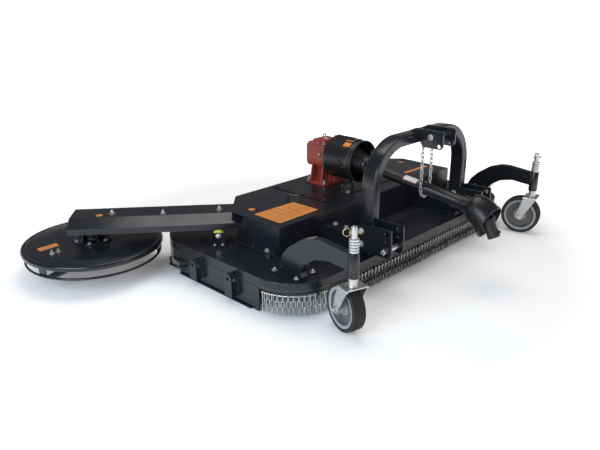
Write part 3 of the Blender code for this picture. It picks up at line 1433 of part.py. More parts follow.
def make_pto_front(frame, pivot, black, steel):
    """Front guard: thicker tube, collar and drooping cone; the inner profile bar turns in it."""
    r, w = THICK_TUBE, GUARD_WALL
    lip = THIN_TUBE + SEAT * 2
    c = COLLAR_RADIUS
    bush = PROFILE_INNER + RUN
    m = MOUTH_RADIUS

    def cone(share):
        return COLLAR_END + MOUTH_LENGTH * share

    profile = [
        (r, THICK_START), (r, COLLAR_START), (c, COLLAR_START + 0.002), (c, COLLAR_END),
        (c + 0.012, cone(0.04)), (c + 0.034, cone(0.22)), (m - 0.009, cone(0.55)), (m - 0.004, cone(0.93)),
        (m, cone(0.94)), (m, cone(1)), (m - w, cone(1)), (m - w - 0.003, cone(0.92)),
        (m - 0.009 - w, cone(0.54)), (c + 0.034 - w, cone(0.24)), (c + 0.012 - w, cone(0.07)),
        (c - w, COLLAR_END), (c - w, COLLAR_END - 0.012), (bush, COLLAR_END - 0.012),
        (bush, COLLAR_END - 0.020), (r - w, COLLAR_END - 0.020), (r - w, THICK_START + 0.014),
        (lip, THICK_START + 0.012), (lip, THICK_START),
    ]
    rings = [guard_ring(radius, run) for radius, run in profile]
    points = [p for ring in rings for p in ring]
    faces = []
    count = len(rings[0])
    for k in range(len(rings)):
        n = (k + 1) % len(rings)
        for i in range(count):
            j = (i + 1) % count
            faces.append((k * count + i, k * count + j, n * count + j, n * count + i))
    guard = solid("front_shaft_guard", black, [facing_out(points, faces)], pivot=pivot)
    base = FRONT_CROSS - YOKE_BASE
    flip = Matrix.Translation(vec(0, 0, FRONT_CROSS)) @ Matrix.Rotation(math.pi, 4, "X")
    shells = [moved(s, flip) for s in cross_yoke(FRONT_CROSS_REACH, YOKE_BASE)]
    start = THICK_START - 0.160
    shells.append(cylinder((0, 0, start), (0, 0, 1), PROFILE_INNER, base - YOKE_FLOOR + 0.002 - start, ROUND))
    shaft = solid("inner_profile_bar", steel, [moved(s, frame) for s in shells], pivot=pivot)
    return guard, shaft


def make_tractor_yoke(paint):
    """The loose yoke at the tractor end, hanging down from the front cross."""
    drop = math.radians(TRACTOR_YOKE_DROP)
    along = vec(0, -math.cos(drop), -math.sin(drop))
    across = vec(1, 0, 0)
    turn = Matrix((across, along.cross(across), along)).transposed().to_4x4()
    place = Matrix.Translation(front_cross()) @ turn
    inner = yoke_inside(FRONT_CROSS_REACH)
    end = YOKE_BASE + TRACTOR_HUB
    shells = wide_yoke(inner, inner + 0.009, YOKE_BASE, TRACTOR_HUB_RADIUS, TRACTOR_HUB)
    shells.append(cylinder((0, TRACTOR_HUB_RADIUS - 0.004, end - 0.012), (0, 1, 0), 0.009, 0.014, 12))
    bore = cylinder((0, 0, YOKE_BASE + 0.020), (0, 0, 1), INPUT_RADIUS, TRACTOR_HUB + 0.02, ROUND)
    return solid("tractor_yoke", paint, [moved(s, place) for s in shells], [moved(bore, place)],
                 pivot=front_cross())


def make_input_yoke(steel):
    """The yoke clamped on the input shaft, open towards the tractor."""
    turn = Matrix.Rotation(math.radians(-90), 4, "X")
    place = Matrix.Translation(vec(0, JOINT_Y, INPUT_Z)) @ turn
    inner = yoke_inside(REAR_CROSS_REACH)
    shells = wide_yoke(inner, inner + 0.009, YOKE_BASE, 0.027, YOKE_HUB)
    bore = cylinder((0, 0, YOKE_BASE + 0.010), (0, 0, 1), bore_round(INPUT_RADIUS, SEAT), 0.2)
    return solid("input_yoke", steel, [moved(s, place) for s in shells], [moved(bore, place)],
                 pivot=(0, BOX_Y, INPUT_Z))


# Chains
FACE_ORDER = ((-1, -1), (1, -1), (1, 1), (-1, 1))


def add_cube(points, place, axes, half):
    """Adds the corners of a small cube, keyed by their signs along its three axes."""
    corners = {}
    for a in (-1, 1):
        for b in (-1, 1):
            for c in (-1, 1):
                corners[(a, b, c)] = len(points)
                points.append(place + (axes[0] * a + axes[1] * b + axes[2] * c) * half)
    return corners


def cube_side(corners, axis, sign):
    """Four corners of one face, in order round it."""
    result = []
    for p, q in FACE_ORDER:
        key = [p, q]
        key.insert(axis, sign)
        result.append(corners[tuple(key)])
    return tuple(result)


def add_tube(faces, first, second):
    for i in range(4):
        j = (i + 1) % 4
        faces.append((first[i], first[j], second[j], second[i]))


def add_link(points, faces, upper, lower, axis, middle, axes, wire, bow):
    """Two bent wires that leave opposite faces of one cube and meet at the next one."""
    for sign in (-1, 1):
        first, bend, last = [], [], []
        for p, q in FACE_ORDER:
            key = [p, p, -q]
            key[axis] = sign
            first.append(upper[tuple(key)])
            key[2] = q
            last.append(lower[tuple(key)])
            bend.append(len(points))
            points.append(middle + axes[1 - axis] * p * wire + axes[axis] * sign * (bow + q * wire))
        add_tube(faces, first, bend)
        add_tube(faces, bend, last)


def chain_curtain(stations, ends):
    """One closed mesh: a square bar with a chain under each station.

    Each chain runs through small cubes. A link is two bent wires that leave opposite faces
    of one cube and meet at the next, and the links turn a quarter from one to the next.
    """
    points = []
    faces = []
    drop = vec(0, 0, -CHAIN_LENGTH / CHAIN_LINKS)
    down = vec(0, 0, -1)
    first = add_cube(points, ends[0][0], (ends[0][1], ends[0][2], down), CHAIN_ROD_HALF)
    for axis, sign in ((0, -1), (1, -1), (1, 1), (2, -1), (2, 1)):
        faces.append(cube_side(first, axis, sign))
    before = cube_side(first, 0, 1)
    for place, tangent, normal in stations:
        axes = (tangent, normal, down)
        upper = add_cube(points, place, axes, CHAIN_ROD_HALF)
        add_tube(faces, before, cube_side(upper, 0, -1))
        before = cube_side(upper, 0, 1)
        faces += [cube_side(upper, 2, -1), cube_side(upper, 2, 1)]
        for link in range(CHAIN_LINKS):
            axis = 1 - link % 2
            lower = add_cube(points, place + drop * (link + 1), axes, CHAIN_WIRE)
            add_link(points, faces, upper, lower, axis, place + drop * (link + 0.5), axes,
                     CHAIN_WIRE * 0.9, CHAIN_HALF)
            faces += [cube_side(lower, 2, -1), cube_side(lower, 2, 1)]
            upper = lower
        faces += [cube_side(upper, 1 - axis, -1), cube_side(upper, 1 - axis, 1)]
    last = add_cube(points, ends[1][0], (ends[1][1], ends[1][2], down), CHAIN_ROD_HALF)
    add_tube(faces, before, cube_side(last, 0, -1))
    for axis, sign in ((0, 1), (1, -1), (1, 1), (2, -1), (2, 1)):
        faces.append(cube_side(last, axis, sign))
    return facing_out(points, faces)


def rod_place(x):
    """Frame of the front rod at this x."""
    return vec(x, DECK_FRONT + DECK_WALL / 2, CHAIN_ROD_Z), vec(1, 0, 0), vec(0, 1, 0)


def corner_place(run):
    """Frame on the right front corner's rod, at this distance from the straight rod's end."""
    radius = FRONT_CORNER - DECK_WALL / 2
    straight = DECK_HALF - FRONT_CORNER - CURTAIN_HALF
    if run < straight:
        return rod_place(CURTAIN_HALF + run)
    angle = (run - straight) / radius
    centre = vec(DECK_HALF - FRONT_CORNER, DECK_FRONT + FRONT_CORNER, CHAIN_ROD_Z)
    out = vec(math.sin(angle), -math.cos(angle), 0)
    return centre + out * radius, vec(math.cos(angle), math.sin(angle), 0), -out


def curtain_count():
    return round(2 * CURTAIN_HALF / CHAIN_STEP)


def corner_count():
    length = (DECK_HALF - FRONT_CORNER - CURTAIN_HALF) + (FRONT_CORNER - DECK_WALL / 2) * math.pi / 2
    return int((length - CORNER_START - 0.010) / CHAIN_STEP)


def make_curtains(zinc):
    count = curtain_count()
    step = 2 * CURTAIN_HALF / count
    stations = [rod_place(-CURTAIN_HALF + (i + 0.5) * step) for i in range(count)]
    edge = CURTAIN_HALF - CHAIN_ROD_HALF - RUN
    ends = (rod_place(-edge), rod_place(edge))
    front = solid("front_chain_curtain", zinc, [chain_curtain(stations, ends)],
                  pivot=rod_place(0)[0])
    count = corner_count()
    stations = [corner_place(CORNER_START + (i + 0.5) * CHAIN_STEP) for i in range(count)]
    ends = (corner_place(CHAIN_ROD_HALF + RUN), corner_place(CORNER_START + count * CHAIN_STEP))
    right = chain_curtain(stations, ends)
    return front, [
        solid("right_corner_chains", zinc, [right]),
        solid("left_corner_chains", zinc, mirrored([right])),
    ]


def rod_tabs():
    """The round tabs under the skirt that carry the chain rods."""
    count = curtain_count()
    step = 2 * CURTAIN_HALF / count
    places = [rod_place(-CURTAIN_HALF + i * step) for i in (1, count // 4, count // 2, count - count // 4, count - 1)]
    tabs = []
    for frame in places:
        tabs += rod_tab(frame)
    for i in (1, corner_count() - 1):
        before, along, _ = corner_place(CORNER_START + (i - 0.5) * CHAIN_STEP)
        before = before + along * CHAIN_ROD_HALF
        after, along, _ = corner_place(CORNER_START + (i + 0.5) * CHAIN_STEP)
        after = after - along * CHAIN_ROD_HALF
        tangent = (after - before).normalized()
        tab = rod_tab(((before + after) / 2, tangent, vec(0, 0, 1).cross(tangent)))
        tabs += tab + mirrored(tab)
    return tabs


def rod_tab(frame):
    """A ring round the rod and the strap that holds it, welded to the skirt."""
    centre, tangent, normal = frame
    turn = Matrix((tangent, normal, vec(0, 0, 1))).transposed().to_4x4()
    hole = bore_round(CHAIN_ROD_HALF * math.sqrt(2), SEAT, 12)
    ring = pipe((-TAB_HALF, 0, 0), (1, 0, 0), hole + TAB_WALL, hole, 2 * TAB_HALF, 12)
    strap = block(-TAB_HALF, TAB_HALF, -0.005, 0.005, hole + TAB_WALL / 2, FRONT_SKIRT - centre.z + 0.008)
    return [moved(shell, Matrix.Translation(centre) @ turn) for shell in (ring, strap)]


def sling_place(run, leg, bar_z, tube_z):
    """Place and axes on the sling chain at this distance: down, round under the tube and up."""
    arc = math.pi * SLING_HALF
    if run < leg:
        place, tangent = vec(-SLING_HALF, SLING_Y, bar_z - run), vec(0, 0, -1)
    elif run < leg + arc:
        turn = math.pi + (run - leg) / SLING_HALF
        place = vec(SLING_HALF * math.cos(turn), SLING_Y, tube_z + SLING_HALF * math.sin(turn))
        tangent = vec(-math.sin(turn), 0, math.cos(turn))
    else:
        place, tangent = vec(SLING_HALF, SLING_Y, bar_z - 2 * leg - arc + run), vec(0, 0, 1)
    across = vec(0, 1, 0)
    return place, (across.cross(tangent), across, tangent)


def make_sling(zinc):
    """The chain that holds the shaft guard, closed by the bar between the top link plates."""
    tube_z = INPUT_Z - (JOINT_Y - SLING_Y) * math.tan(math.radians(PTO_SLOPE))
    bar_z = ARCH_TOP - TOP_HOLE_DROP
    leg = bar_z - tube_z
    total = 2 * leg + math.pi * SLING_HALF
    count = round(total / SLING_LINK)
    count += 1 - count % 2
    pitch = total / count
    points = []
    faces = []
    bar_axes = (vec(-1, 0, 0), vec(0, 1, 0), vec(0, 0, -1))
    first = upper = add_cube(points, vec(-SLING_HALF, SLING_Y, bar_z), bar_axes, SLING_WIRE)
    for link in range(count):
        axis = 1 - link % 2
        place, axes = sling_place((link + 1) * pitch - 1e-6, leg, bar_z, tube_z)
        lower = add_cube(points, place, axes, SLING_WIRE)
        place, axes = sling_place((link + 0.5) * pitch, leg, bar_z, tube_z)
        add_link(points, faces, upper, lower, axis, place, axes, SLING_WIRE * 0.9, SLING_LINK_HALF)
        faces += [cube_side(lower, 2, -1), cube_side(lower, 2, 1)]
        upper = lower
    for corners in (first, upper):
        faces += [cube_side(corners, 0, -1), cube_side(corners, 0, 1)]
    faces += [cube_side(first, 2, -1), cube_side(first, 2, 1)]
    inside = BRACKET_HALF - BRACKET_THICK / 2 - SEAT
    bar = cylinder((-inside, SLING_Y, bar_z), (1, 0, 0), SLING_BAR, 2 * inside, 10)
    return solid("sling_chain", zinc, [(points, faces), bar])


# Machine
def bounds(objects):
    graph = bpy.context.evaluated_depsgraph_get()
    low, high = vec(1e9, 1e9, 1e9), vec(-1e9, -1e9, -1e9)
    for obj in objects:
        seen = obj.evaluated_get(graph)
        mesh = seen.to_mesh()
        for vertex in mesh.vertices:
            place = seen.matrix_world @ vertex.co
            low = vec(*(min(a, b) for a, b in zip(low, place)))
            high = vec(*(max(a, b) for a, b in zip(high, place)))
        seen.to_mesh_clear()
    return low, high


def build():
    for obj in list(bpy.data.objects):
        bpy.data.objects.remove(obj)

    paint = finish("dark_paint", (0.035, 0.037, 0.042), 0.35, 0.0)
    red = finish("red_paint", (0.45, 0.02, 0.015), 0.4, 0.0)
    zinc = finish("zinc_plate", (0.62, 0.60, 0.55), 0.35, 1.0)
    steel = finish("plain_steel", (0.25, 0.25, 0.26), 0.4, 1.0)
    black = finish("black_plastic", (0.015, 0.015, 0.016), 0.5, 0.0)
    rubber = finish("tyre_rubber", (0.02, 0.02, 0.02), 0.8, 0.0)
    grey = finish("wheel_grey", (0.42, 0.43, 0.44), 0.45, 0.0)
    yellow = finish("roller_yellow", (0.62, 0.60, 0.05), 0.45, 0.0)

    machine = joint("machine", None, (0, 0, 0))
    front_curtain, corners = make_curtains(zinc)
    fixed = [
        make_deck(paint), make_guard_rod(zinc), make_cover(paint), make_centre_plate(paint),
        *make_handles(zinc), make_gearbox(red), make_lid(red), *make_belts(rubber),
        make_shield(black), make_arch(paint), *corners, make_sling(zinc), make_top_pin(zinc),
        make_bearing_housing("left_bearing_housing", -ROTOR_X, steel),
        make_bearing_housing("right_bearing_housing", ROTOR_X, steel),
    ]
    for side, word in ((-1, "left"), (1, "right")):
        fixed += [
            make_beam(word + "_lower_beam", side, paint),
            make_hitch_plate(word + "_inner_hitch_plate", side * HITCH_INNER, -side, paint),
            make_hitch_plate(word + "_outer_hitch_plate", side * HITCH_OUTER, side, paint),
            make_link_pin(word + "_lower_link_pin", side, zinc),
            make_bracket(word + "_top_link_plate", side, paint),
            make_caster_arm(word + "_caster_arm", side, paint),
        ]
    bracket, roller, roller_place = make_roller(paint, yellow)
    fixed.append(bracket)
    carry(machine, fixed)

    moving = {}

    def body(name, parent, place, pieces):
        empty = joint(name, parent, place)
        carry(empty, pieces)
        moving[name] = empty
        return empty

    body("chain_curtain", machine, rod_place(0)[0], [front_curtain])
    body("roller", machine, roller_place, [roller])
    body("shield_flap_hinge", machine, flap_hinge(), [make_flap(black)])
    body("input_shaft", machine, (0, BOX_Y, INPUT_Z), [make_crown(steel), make_input_yoke(steel)])
    body("output_shaft", machine, (0, BOX_Y, DECK_TOP), make_output(steel))
    left = make_rotor("left", -ROTOR_X, LEFT_ROTOR_TURN, steel, black)
    left.append(make_arm_pulley(black))
    body("left_rotor", machine, (-ROTOR_X, ROTOR_Y, BLADE_Z), left)
    right = make_rotor("right", ROTOR_X, RIGHT_ROTOR_TURN, steel, black)
    body("right_rotor", machine, (ROTOR_X, ROTOR_Y, BLADE_Z), right)

    pivot = vec(-ROTOR_X, ROTOR_Y, ARM_LIP_Z)
    centre = disc_centre()
    arm_belt = belt("arm_belt", rubber, (-ROTOR_X, ROTOR_Y), (centre.x, centre.y),
                    (ARM_PULLEY_RADIUS, ARM_PULLEY_RADIUS), ARM_PULLEY_LOW + 0.004, ARM_PULLEY_TOP - 0.004,
                    pivot)
    arm = body("swing_arm", machine, pivot, [make_arm(paint), *make_disc(paint, zinc, steel), arm_belt])
    body("disc_rotor", arm, (centre.x, centre.y, DISC_BLADE_Z), make_disc_rotor(steel, black))

    for side, word, turn in ((-1, "left", CASTER_TURN[0]), (1, "right", CASTER_TURN[1])):
        frame = caster_frame(side, turn)
        swivel = frame @ vec(0, 0, HOUSING_LOW)
        axle = frame @ vec(WHEEL_TRAIL, 0, WHEEL_RADIUS)
        caster = body(word + "_caster", machine, swivel, [make_fork(word + "_caster_fork", frame, swivel, zinc)])
        body(word + "_wheel", caster, axle, make_wheel(word, frame, axle, rubber, grey))

    frame = pto_frame()
    cross = vec(0, JOINT_Y, INPUT_Z)
    slide_place = frame @ vec(0, 0, THICK_START)
    rear_guard, rear_shaft = make_pto_rear(frame, cross, black, steel)
    tilt = body("shaft_tilt", machine, cross, [rear_guard])
    body("rear_profile", tilt, cross, [rear_shaft])
    front_guard, front_shaft = make_pto_front(frame, slide_place, black, steel)
    slide = body("shaft_slide", tilt, slide_place, [front_guard])
    body("front_profile", slide, slide_place, [front_shaft])
    body("tractor_yoke_hinge", slide, front_cross(), [make_tractor_yoke(paint)])

    bpy.context.view_layer.update()
    nodes = [obj for obj in bpy.data.objects if obj.type == "MESH" and not obj.hide_render]
    low, high = bounds(nodes)
    machine.location = (-(low.x + high.x) / 2, -(low.y + high.y) / 2, -low.z)
    bpy.context.view_layer.update()
    return machine, moving


if __name__ == "__main__":
    build()
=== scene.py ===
"""Finer pieces, finishes, floor, light and camera for the rotary mulcher.

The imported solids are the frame: each piece here keeps its solid's place and size, and rides
on the same body. Lengths are in metres. The machine's own frame has its origin on the floor
under the middle of the hitch arch, +X across, -Y towards the tractor and +Z up.
"""

import math

import bmesh
import bpy
from mathutils import Matrix, Vector


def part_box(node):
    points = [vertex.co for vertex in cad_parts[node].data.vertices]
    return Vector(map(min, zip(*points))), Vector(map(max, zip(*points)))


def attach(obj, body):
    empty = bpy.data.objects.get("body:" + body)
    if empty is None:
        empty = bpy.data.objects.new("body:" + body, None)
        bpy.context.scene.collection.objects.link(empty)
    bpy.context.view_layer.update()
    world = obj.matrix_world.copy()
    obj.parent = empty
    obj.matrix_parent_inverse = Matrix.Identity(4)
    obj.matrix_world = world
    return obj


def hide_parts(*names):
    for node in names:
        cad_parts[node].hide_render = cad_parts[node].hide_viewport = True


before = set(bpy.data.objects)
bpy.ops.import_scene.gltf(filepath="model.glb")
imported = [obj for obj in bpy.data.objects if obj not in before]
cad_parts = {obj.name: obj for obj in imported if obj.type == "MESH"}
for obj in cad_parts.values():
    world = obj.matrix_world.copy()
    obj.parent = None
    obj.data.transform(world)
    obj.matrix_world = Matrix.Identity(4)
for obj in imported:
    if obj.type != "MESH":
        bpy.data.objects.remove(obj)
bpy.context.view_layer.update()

bl_info = {
    "name": "Rotary mulcher",
    "version": (1, 0, 0),
    "blender": (4, 5, 0),
    "location": "3D View > Sidebar > Mulcher",
    "description": "Adds the finer pieces, finishes, floor and light of a rotary mulcher",
    "category": "Add Mesh",
}

X, Y, Z = Vector((1, 0, 0)), Vector((0, 1, 0)), Vector((0, 0, 1))
SIDES = (("left", -1), ("right", 1))


def node_box(name):
    low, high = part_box(name)
    return Vector(low), Vector(high)


ARCH_LOW, ARCH_HIGH = node_box("headstock_arch")
SHIFT = Vector(((ARCH_LOW.x + ARCH_HIGH.x) / 2, (ARCH_LOW.y + ARCH_HIGH.y) / 2, 0))


def machine_box(name):
    """A node's lowest and highest corner in the machine's own frame."""
    low, high = node_box(name)
    return low - SHIFT, high - SHIFT


# Places that several pieces share
ARCH_HALF = (ARCH_HIGH.x - ARCH_LOW.x) / 2
ARCH_TOP = ARCH_HIGH.z
SPACE = 0.0004
SHEET = 0.006

CHAINS_LOW, CHAINS_HIGH = machine_box("front_chain_curtain")
ROD_Y = (CHAINS_LOW.y + CHAINS_HIGH.y) / 2
ROD_Z = 0.115
ROD_INSET = 0.003
DECK_HALF, DECK_FRONT, DECK_REAR = 1.061, ROD_Y - ROD_INSET, 1.140
FRONT_ROUND, REAR_ROUND = 0.25, 0.27
CORNER_X = DECK_HALF - FRONT_ROUND
DECK_TOP = machine_box("deck_shell")[1].z
SKIRT_BEND = 0.1345
COVER_LOW, COVER_HIGH = machine_box("drive_cover")
COVER_TOP = COVER_HIGH.z

INPUT_Z = 0.535
JOINT = Vector((0, 0.500, INPUT_Z))
SLOPE = math.radians(7.5)
ALONG_SHAFT = Vector((0, -math.cos(SLOPE), -math.sin(SLOPE)))
ABOVE_SHAFT = Vector((0, -math.sin(SLOPE), math.cos(SLOPE)))

CASTER_X, CASTER_Y = 0.912, -0.283
CASTER_TURN = {"left": 73.0, "right": 103.2}
WHEEL_TRAIL, WHEEL_RADIUS = 0.055, 0.122
FORK_HALF = 0.060

ARM_PIVOT = Vector((-0.53, 0.585, 0))
ARM_ANGLE = 140
ARM_TOP = 0.338
DISC_REACH, DISC_TOP = 1.083, 0.180


# Shapes
def facing(along):
    """Two unit vectors across a direction."""
    along = Vector(along).normalized()
    helper = Z if abs(along.z) < 0.9 else X
    first = along.cross(helper).normalized()
    return first, along.cross(first)


def rotated(degrees):
    return Matrix.Rotation(math.radians(degrees), 4, "Z")


def rounded(points, radius, steps=4):
    """A closed outline with its corners rounded; radius is one number or one for each corner."""
    most = 0.49
    result = []
    count = len(points)
    for i, point in enumerate(points):
        r = radius[i] if isinstance(radius, (list, tuple)) else radius
        here = Vector(point).to_3d()
        before = Vector(points[i - 1]).to_3d() - here
        after = Vector(points[(i + 1) % count]).to_3d() - here
        if r <= 0:
            result.append((here.x, here.y))
            continue
        half = before.angle(after) / 2
        reach = min(r / math.tan(half), before.length * most, after.length * most)
        first, last = here + before.normalized() * reach, here + after.normalized() * reach
        for k in range(steps + 1):
            t = k / steps
            p = first * (1 - t) ** 2 + here * 2 * t * (1 - t) + last * t ** 2
            result.append((p.x, p.y))
    return result


def arc(centre, radius, start, end, steps):
    """Points along a part of a circle, with its angles in degrees."""
    angles = [math.radians(start + (end - start) * i / steps) for i in range(steps + 1)]
    return [(centre[0] + radius * math.cos(a), centre[1] + radius * math.sin(a)) for a in angles]


def oval(x, y, half, radius):
    """The outline of a long hole with round ends."""
    return arc((x + half, y), radius, -90, 90, 8) + arc((x - half, y), radius, 90, 270, 8)


def oblong(x0, x1, y0, y1):
    """The four corners of a rectangle."""
    return [(x0, y0), (x1, y0), (x1, y1), (x0, y1)]


def around(centre, first, second, radius, count):
    """Evenly spaced points round a centre, in the plane of two unit vectors."""
    angles = [2 * math.pi * k / count for k in range(count)]
    return [centre + (first * math.cos(a) + second * math.sin(a)) * radius for a in angles]


def heading(degrees):
    """A level unit vector, turned from +X."""
    a = math.radians(degrees)
    return Vector((math.cos(a), math.sin(a), 0))


class Shape:
    """Points and faces in the machine's own frame, added form by form."""

    def __init__(self):
        self.points = []
        self.faces = []
        self.slots = []
        self.place = Matrix.Identity(4)

    def add(self, points, faces, slot=0):
        start = len(self.points)
        self.points += [self.place @ Vector(p) for p in points]
        self.faces += [tuple(start + i for i in face) for face in faces]
        self.slots += [slot] * len(faces)

    def strips(self, rings, slot=0, closed=False):
        """Quads between rings of equal length, with the two ends capped unless it is closed."""
        points = [p for ring in rings for p in ring]
        n = len(rings[0])
        faces = []
        for k in range(len(rings) if closed else len(rings) - 1):
            m = (k + 1) % len(rings)
            for i in range(n):
                j = (i + 1) % n
                faces.append((k * n + i, k * n + j, m * n + j, m * n + i))
        if not closed:
            faces.append(tuple(range(n))[::-1])
            faces.append(tuple(range((len(rings) - 1) * n, len(rings) * n)))
        self.add(points, faces, slot)

    def sheet(self, rows, slot=0):
        """Quads between open rows of equal length."""
        n = len(rows[0])
        faces = [(k * n + i, k * n + i + 1, (k + 1) * n + i + 1, (k + 1) * n + i)
                 for k in range(len(rows) - 1) for i in range(n - 1)]
        self.add([p for row in rows for p in row], faces, slot)

    def tube(self, route, radius, sides=12, closed=False, slot=0):
        """A round bar along a route."""
        route = [Vector(p) for p in route]
        count = len(route)
        rings = []
        side = None
        for i, p in enumerate(route):
            before = route[i - 1] if i or closed else p
            after = route[(i + 1) % count] if i < count - 1 or closed else p
            along = (after - before).normalized()
            if side is None:
                side = facing(along)[0]
            side = (side - along * side.dot(along)).normalized()
            rings.append(around(p, side, along.cross(side), radius, sides))
        self.strips(rings, slot, closed)

    def turned(self, profile, base=(0, 0, 0), along=Z, sides=32, slot=0, closed=False):
        """A turned form: profile holds (radius, distance along the axis)."""
        base, along = Vector(base), Vector(along).normalized()
        first, second = facing(along)
        rings = [around(base + along * t, first, second, max(r, 1e-5), sides) for r, t in profile]
        self.strips(rings, slot, closed)

    def rod(self, start, end, radius, sides=16, slot=0, chamfer=0.0):
        start, end = Vector(start), Vector(end)
        length = (end - start).length
        profile = [(radius, 0), (radius, length)]
        if chamfer:
            profile = [(radius - chamfer, 0), (radius, chamfer), (radius, length - chamfer),
                       (radius - chamfer, length)]
        self.turned(profile, start, end - start, sides, slot)

    def plate(self, outline, axis, low, high, slot=0):
        """An outline given thickness along an axis."""
        put = {"X": lambda a, b, t: (t, a, b), "Y": lambda a, b, t: (a, t, b),
               "Z": lambda a, b, t: (a, b, t)}[axis]
        self.strips([[Vector(put(a, b, t)) for a, b in outline] for t in (low, high)], slot)

    def block(self, x0, x1, y0, y1, z0, z1, slot=0):
        self.plate(oblong(x0, x1, y0, y1), "Z", z0, z1, slot)

    def bolt(self, base, along, size, slot=0, washer=True):
        """A hexagon head with chamfered corners, on a washer; size is its radius over the corners."""
        base, along = Vector(base), Vector(along).normalized()
        lift = 0.0
        if washer:
            lift = size * 0.2
            self.turned([(size * 1.45, -0.001), (size * 1.45, size * 0.16), (size * 1.35, lift),
                         (size * 0.9, lift)], base, along, 20, slot)
        first, second = facing(along)
        head = ((1.0, -0.001), (1.0, size * 0.62), (0.86, size * 0.72), (0.5, size * 0.74))
        self.strips([around(base + along * (lift + t), first, second, size * r, 6) for r, t in head], slot)

    def nut(self, base, along, size, slot=0, stud=0.006):
        """A nut with the threaded end of its bolt standing out of it."""
        self.bolt(base, along, size, slot)
        along = Vector(along).normalized()
        steps = 8
        thread = [(size * (0.52 if i % 2 else 0.46), stud * i / steps) for i in range(steps + 1)]
        profile = [(size * 0.5, 0)] + thread + [(size * 0.3, stud + 0.001)]
        self.turned(profile, Vector(base) + along * size * 0.8, along, 14, slot)

    def link(self, centre, along, wide, length, width, wire, slot=0, bends=5, sides=6):
        """One chain link: a wire round two half circles."""
        centre = Vector(centre)
        along, wide = Vector(along).normalized(), Vector(wide).normalized()
        r = (width - wire) / 2
        straight = length / 2 - r - wire / 2
        route = []
        for sign, start in ((1, 0), (-1, 180)):
            for k in range(bends + 1):
                a = math.radians(start + 180 * k / bends)
                route.append(centre + along * (sign * straight + r * math.sin(a)) + wide * r * math.cos(a))
        self.tube(route, wire, sides, True, slot)

    def mirrored(self):
        """The same form on the other side of the middle plane."""
        other = Shape()
        other.points = [Vector((-p.x, p.y, p.z)) for p in self.points]
        other.faces = [face[::-1] for face in self.faces]
        other.slots = list(self.slots)
        return other


def round_edges(obj, width, degrees):
    """Rounds the edges that bend by more than an angle."""
    rounding = obj.modifiers.new("rounding", "BEVEL")
    rounding.width = width
    rounding.segments = 2
    rounding.limit_method = "ANGLE"
    rounding.angle_limit = math.radians(degrees)
    rounding.harden_normals = True


def make(name, shape, finishes, body, replaces=(), bevel=0.0, sharp=38):
    """Turns a shape into a piece that rides on a body."""
    mesh = bpy.data.meshes.new(name)
    mesh.from_pydata([p + SHIFT for p in shape.points], [], shape.faces)
    mesh.validate()
    for finish in finishes:
        mesh.materials.append(FINISH[finish])
    mesh.polygons.foreach_set("material_index", shape.slots)
    work = bmesh.new()
    work.from_mesh(mesh)
    bmesh.ops.recalc_face_normals(work, faces=work.faces)
    work.to_mesh(mesh)
    work.free()
    mesh.shade_smooth()
    mesh.set_sharp_from_angle(angle=math.radians(sharp))
    obj = bpy.data.objects.new(name, mesh)
    bpy.context.scene.collection.objects.link(obj)
    if bevel:
        round_edges(obj, bevel, sharp)
    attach(obj, body)
    if replaces:
        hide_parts(*replaces)


# Finishes
FINISH = {}


class Graph:
    """Lays out the nodes of a tree."""

    def __init__(self, tree):
        self.tree = tree

    def node(self, kind, **values):
        node = self.tree.nodes.new(kind)
        for key, value in values.items():
            setattr(node, key, value)
        return node

    def link(self, source, target):
        self.tree.links.new(source, target)

    def sums(self, kind, operation, *values):
        """The outputs of a maths node; each value is a number, a vector or another node's output."""
        node = self.node(kind, operation=operation)
        for socket, value in zip(node.inputs, values):
            if isinstance(value, bpy.types.NodeSocket):
                self.link(value, socket)
            else:
                socket.default_value = value
        return node.outputs

    def span(self, source, low, high, start=0.3, end=0.7):
        """Runs from low to high while the source runs from start to end."""
        node = self.node("ShaderNodeMapRange")
        for name, value in (("From Min", start), ("From Max", end), ("To Min", low), ("To Max", high)):
            node.inputs[name].default_value = value
        self.link(source, node.inputs["Value"])
        return node.outputs["Result"]


class Finish(Graph):
    """The nodes of one finish."""

    def __init__(self, name):
        self.material = bpy.data.materials.new(name)
        self.material.use_nodes = True
        super().__init__(self.material.node_tree)
        self.shader = self.tree.nodes["Principled BSDF"]
        self.space = self.node("ShaderNodeTexCoord").outputs["Object"]
        FINISH[name] = self.material

    def noise(self, scale, detail=4.0, stretch=None):
        node = self.node("ShaderNodeTexNoise")
        node.inputs["Scale"].default_value = scale
        node.inputs["Detail"].default_value = detail
        source = self.space
        if stretch:
            mapping = self.node("ShaderNodeMapping")
            mapping.inputs["Scale"].default_value = stretch
            self.link(source, mapping.inputs["Vector"])
            source = mapping.outputs["Vector"]
        self.link(source, node.inputs["Vector"])
        return node.outputs["Fac"]

    def ramp(self, source, first, last):
        """A colour that runs between two stops, each with its place and colour."""
        node = self.node("ShaderNodeValToRGB")
        for element, (place, colour) in zip(node.color_ramp.elements, (first, last)):
            element.position = place
            element.color = (*colour, 1)
        self.link(source, node.inputs["Fac"])
        return node.outputs["Color"]

    def mix(self, factor, first, colour):
        """Mixes a plain colour, such as that of worn edges, into another."""
        node = self.node("ShaderNodeMix", data_type="RGBA")
        self.link(factor, node.inputs["Factor"])
        self.link(first, node.inputs[6])
        node.inputs[7].default_value = (*colour, 1)
        return node.outputs[2]

    def bump(self, source, strength):
        node = self.node("ShaderNodeBump")
        node.inputs["Strength"].default_value = strength
        node.inputs["Distance"].default_value = 0.001
        self.link(source, node.inputs["Height"])
        self.link(node.outputs["Normal"], self.shader.inputs["Normal"])


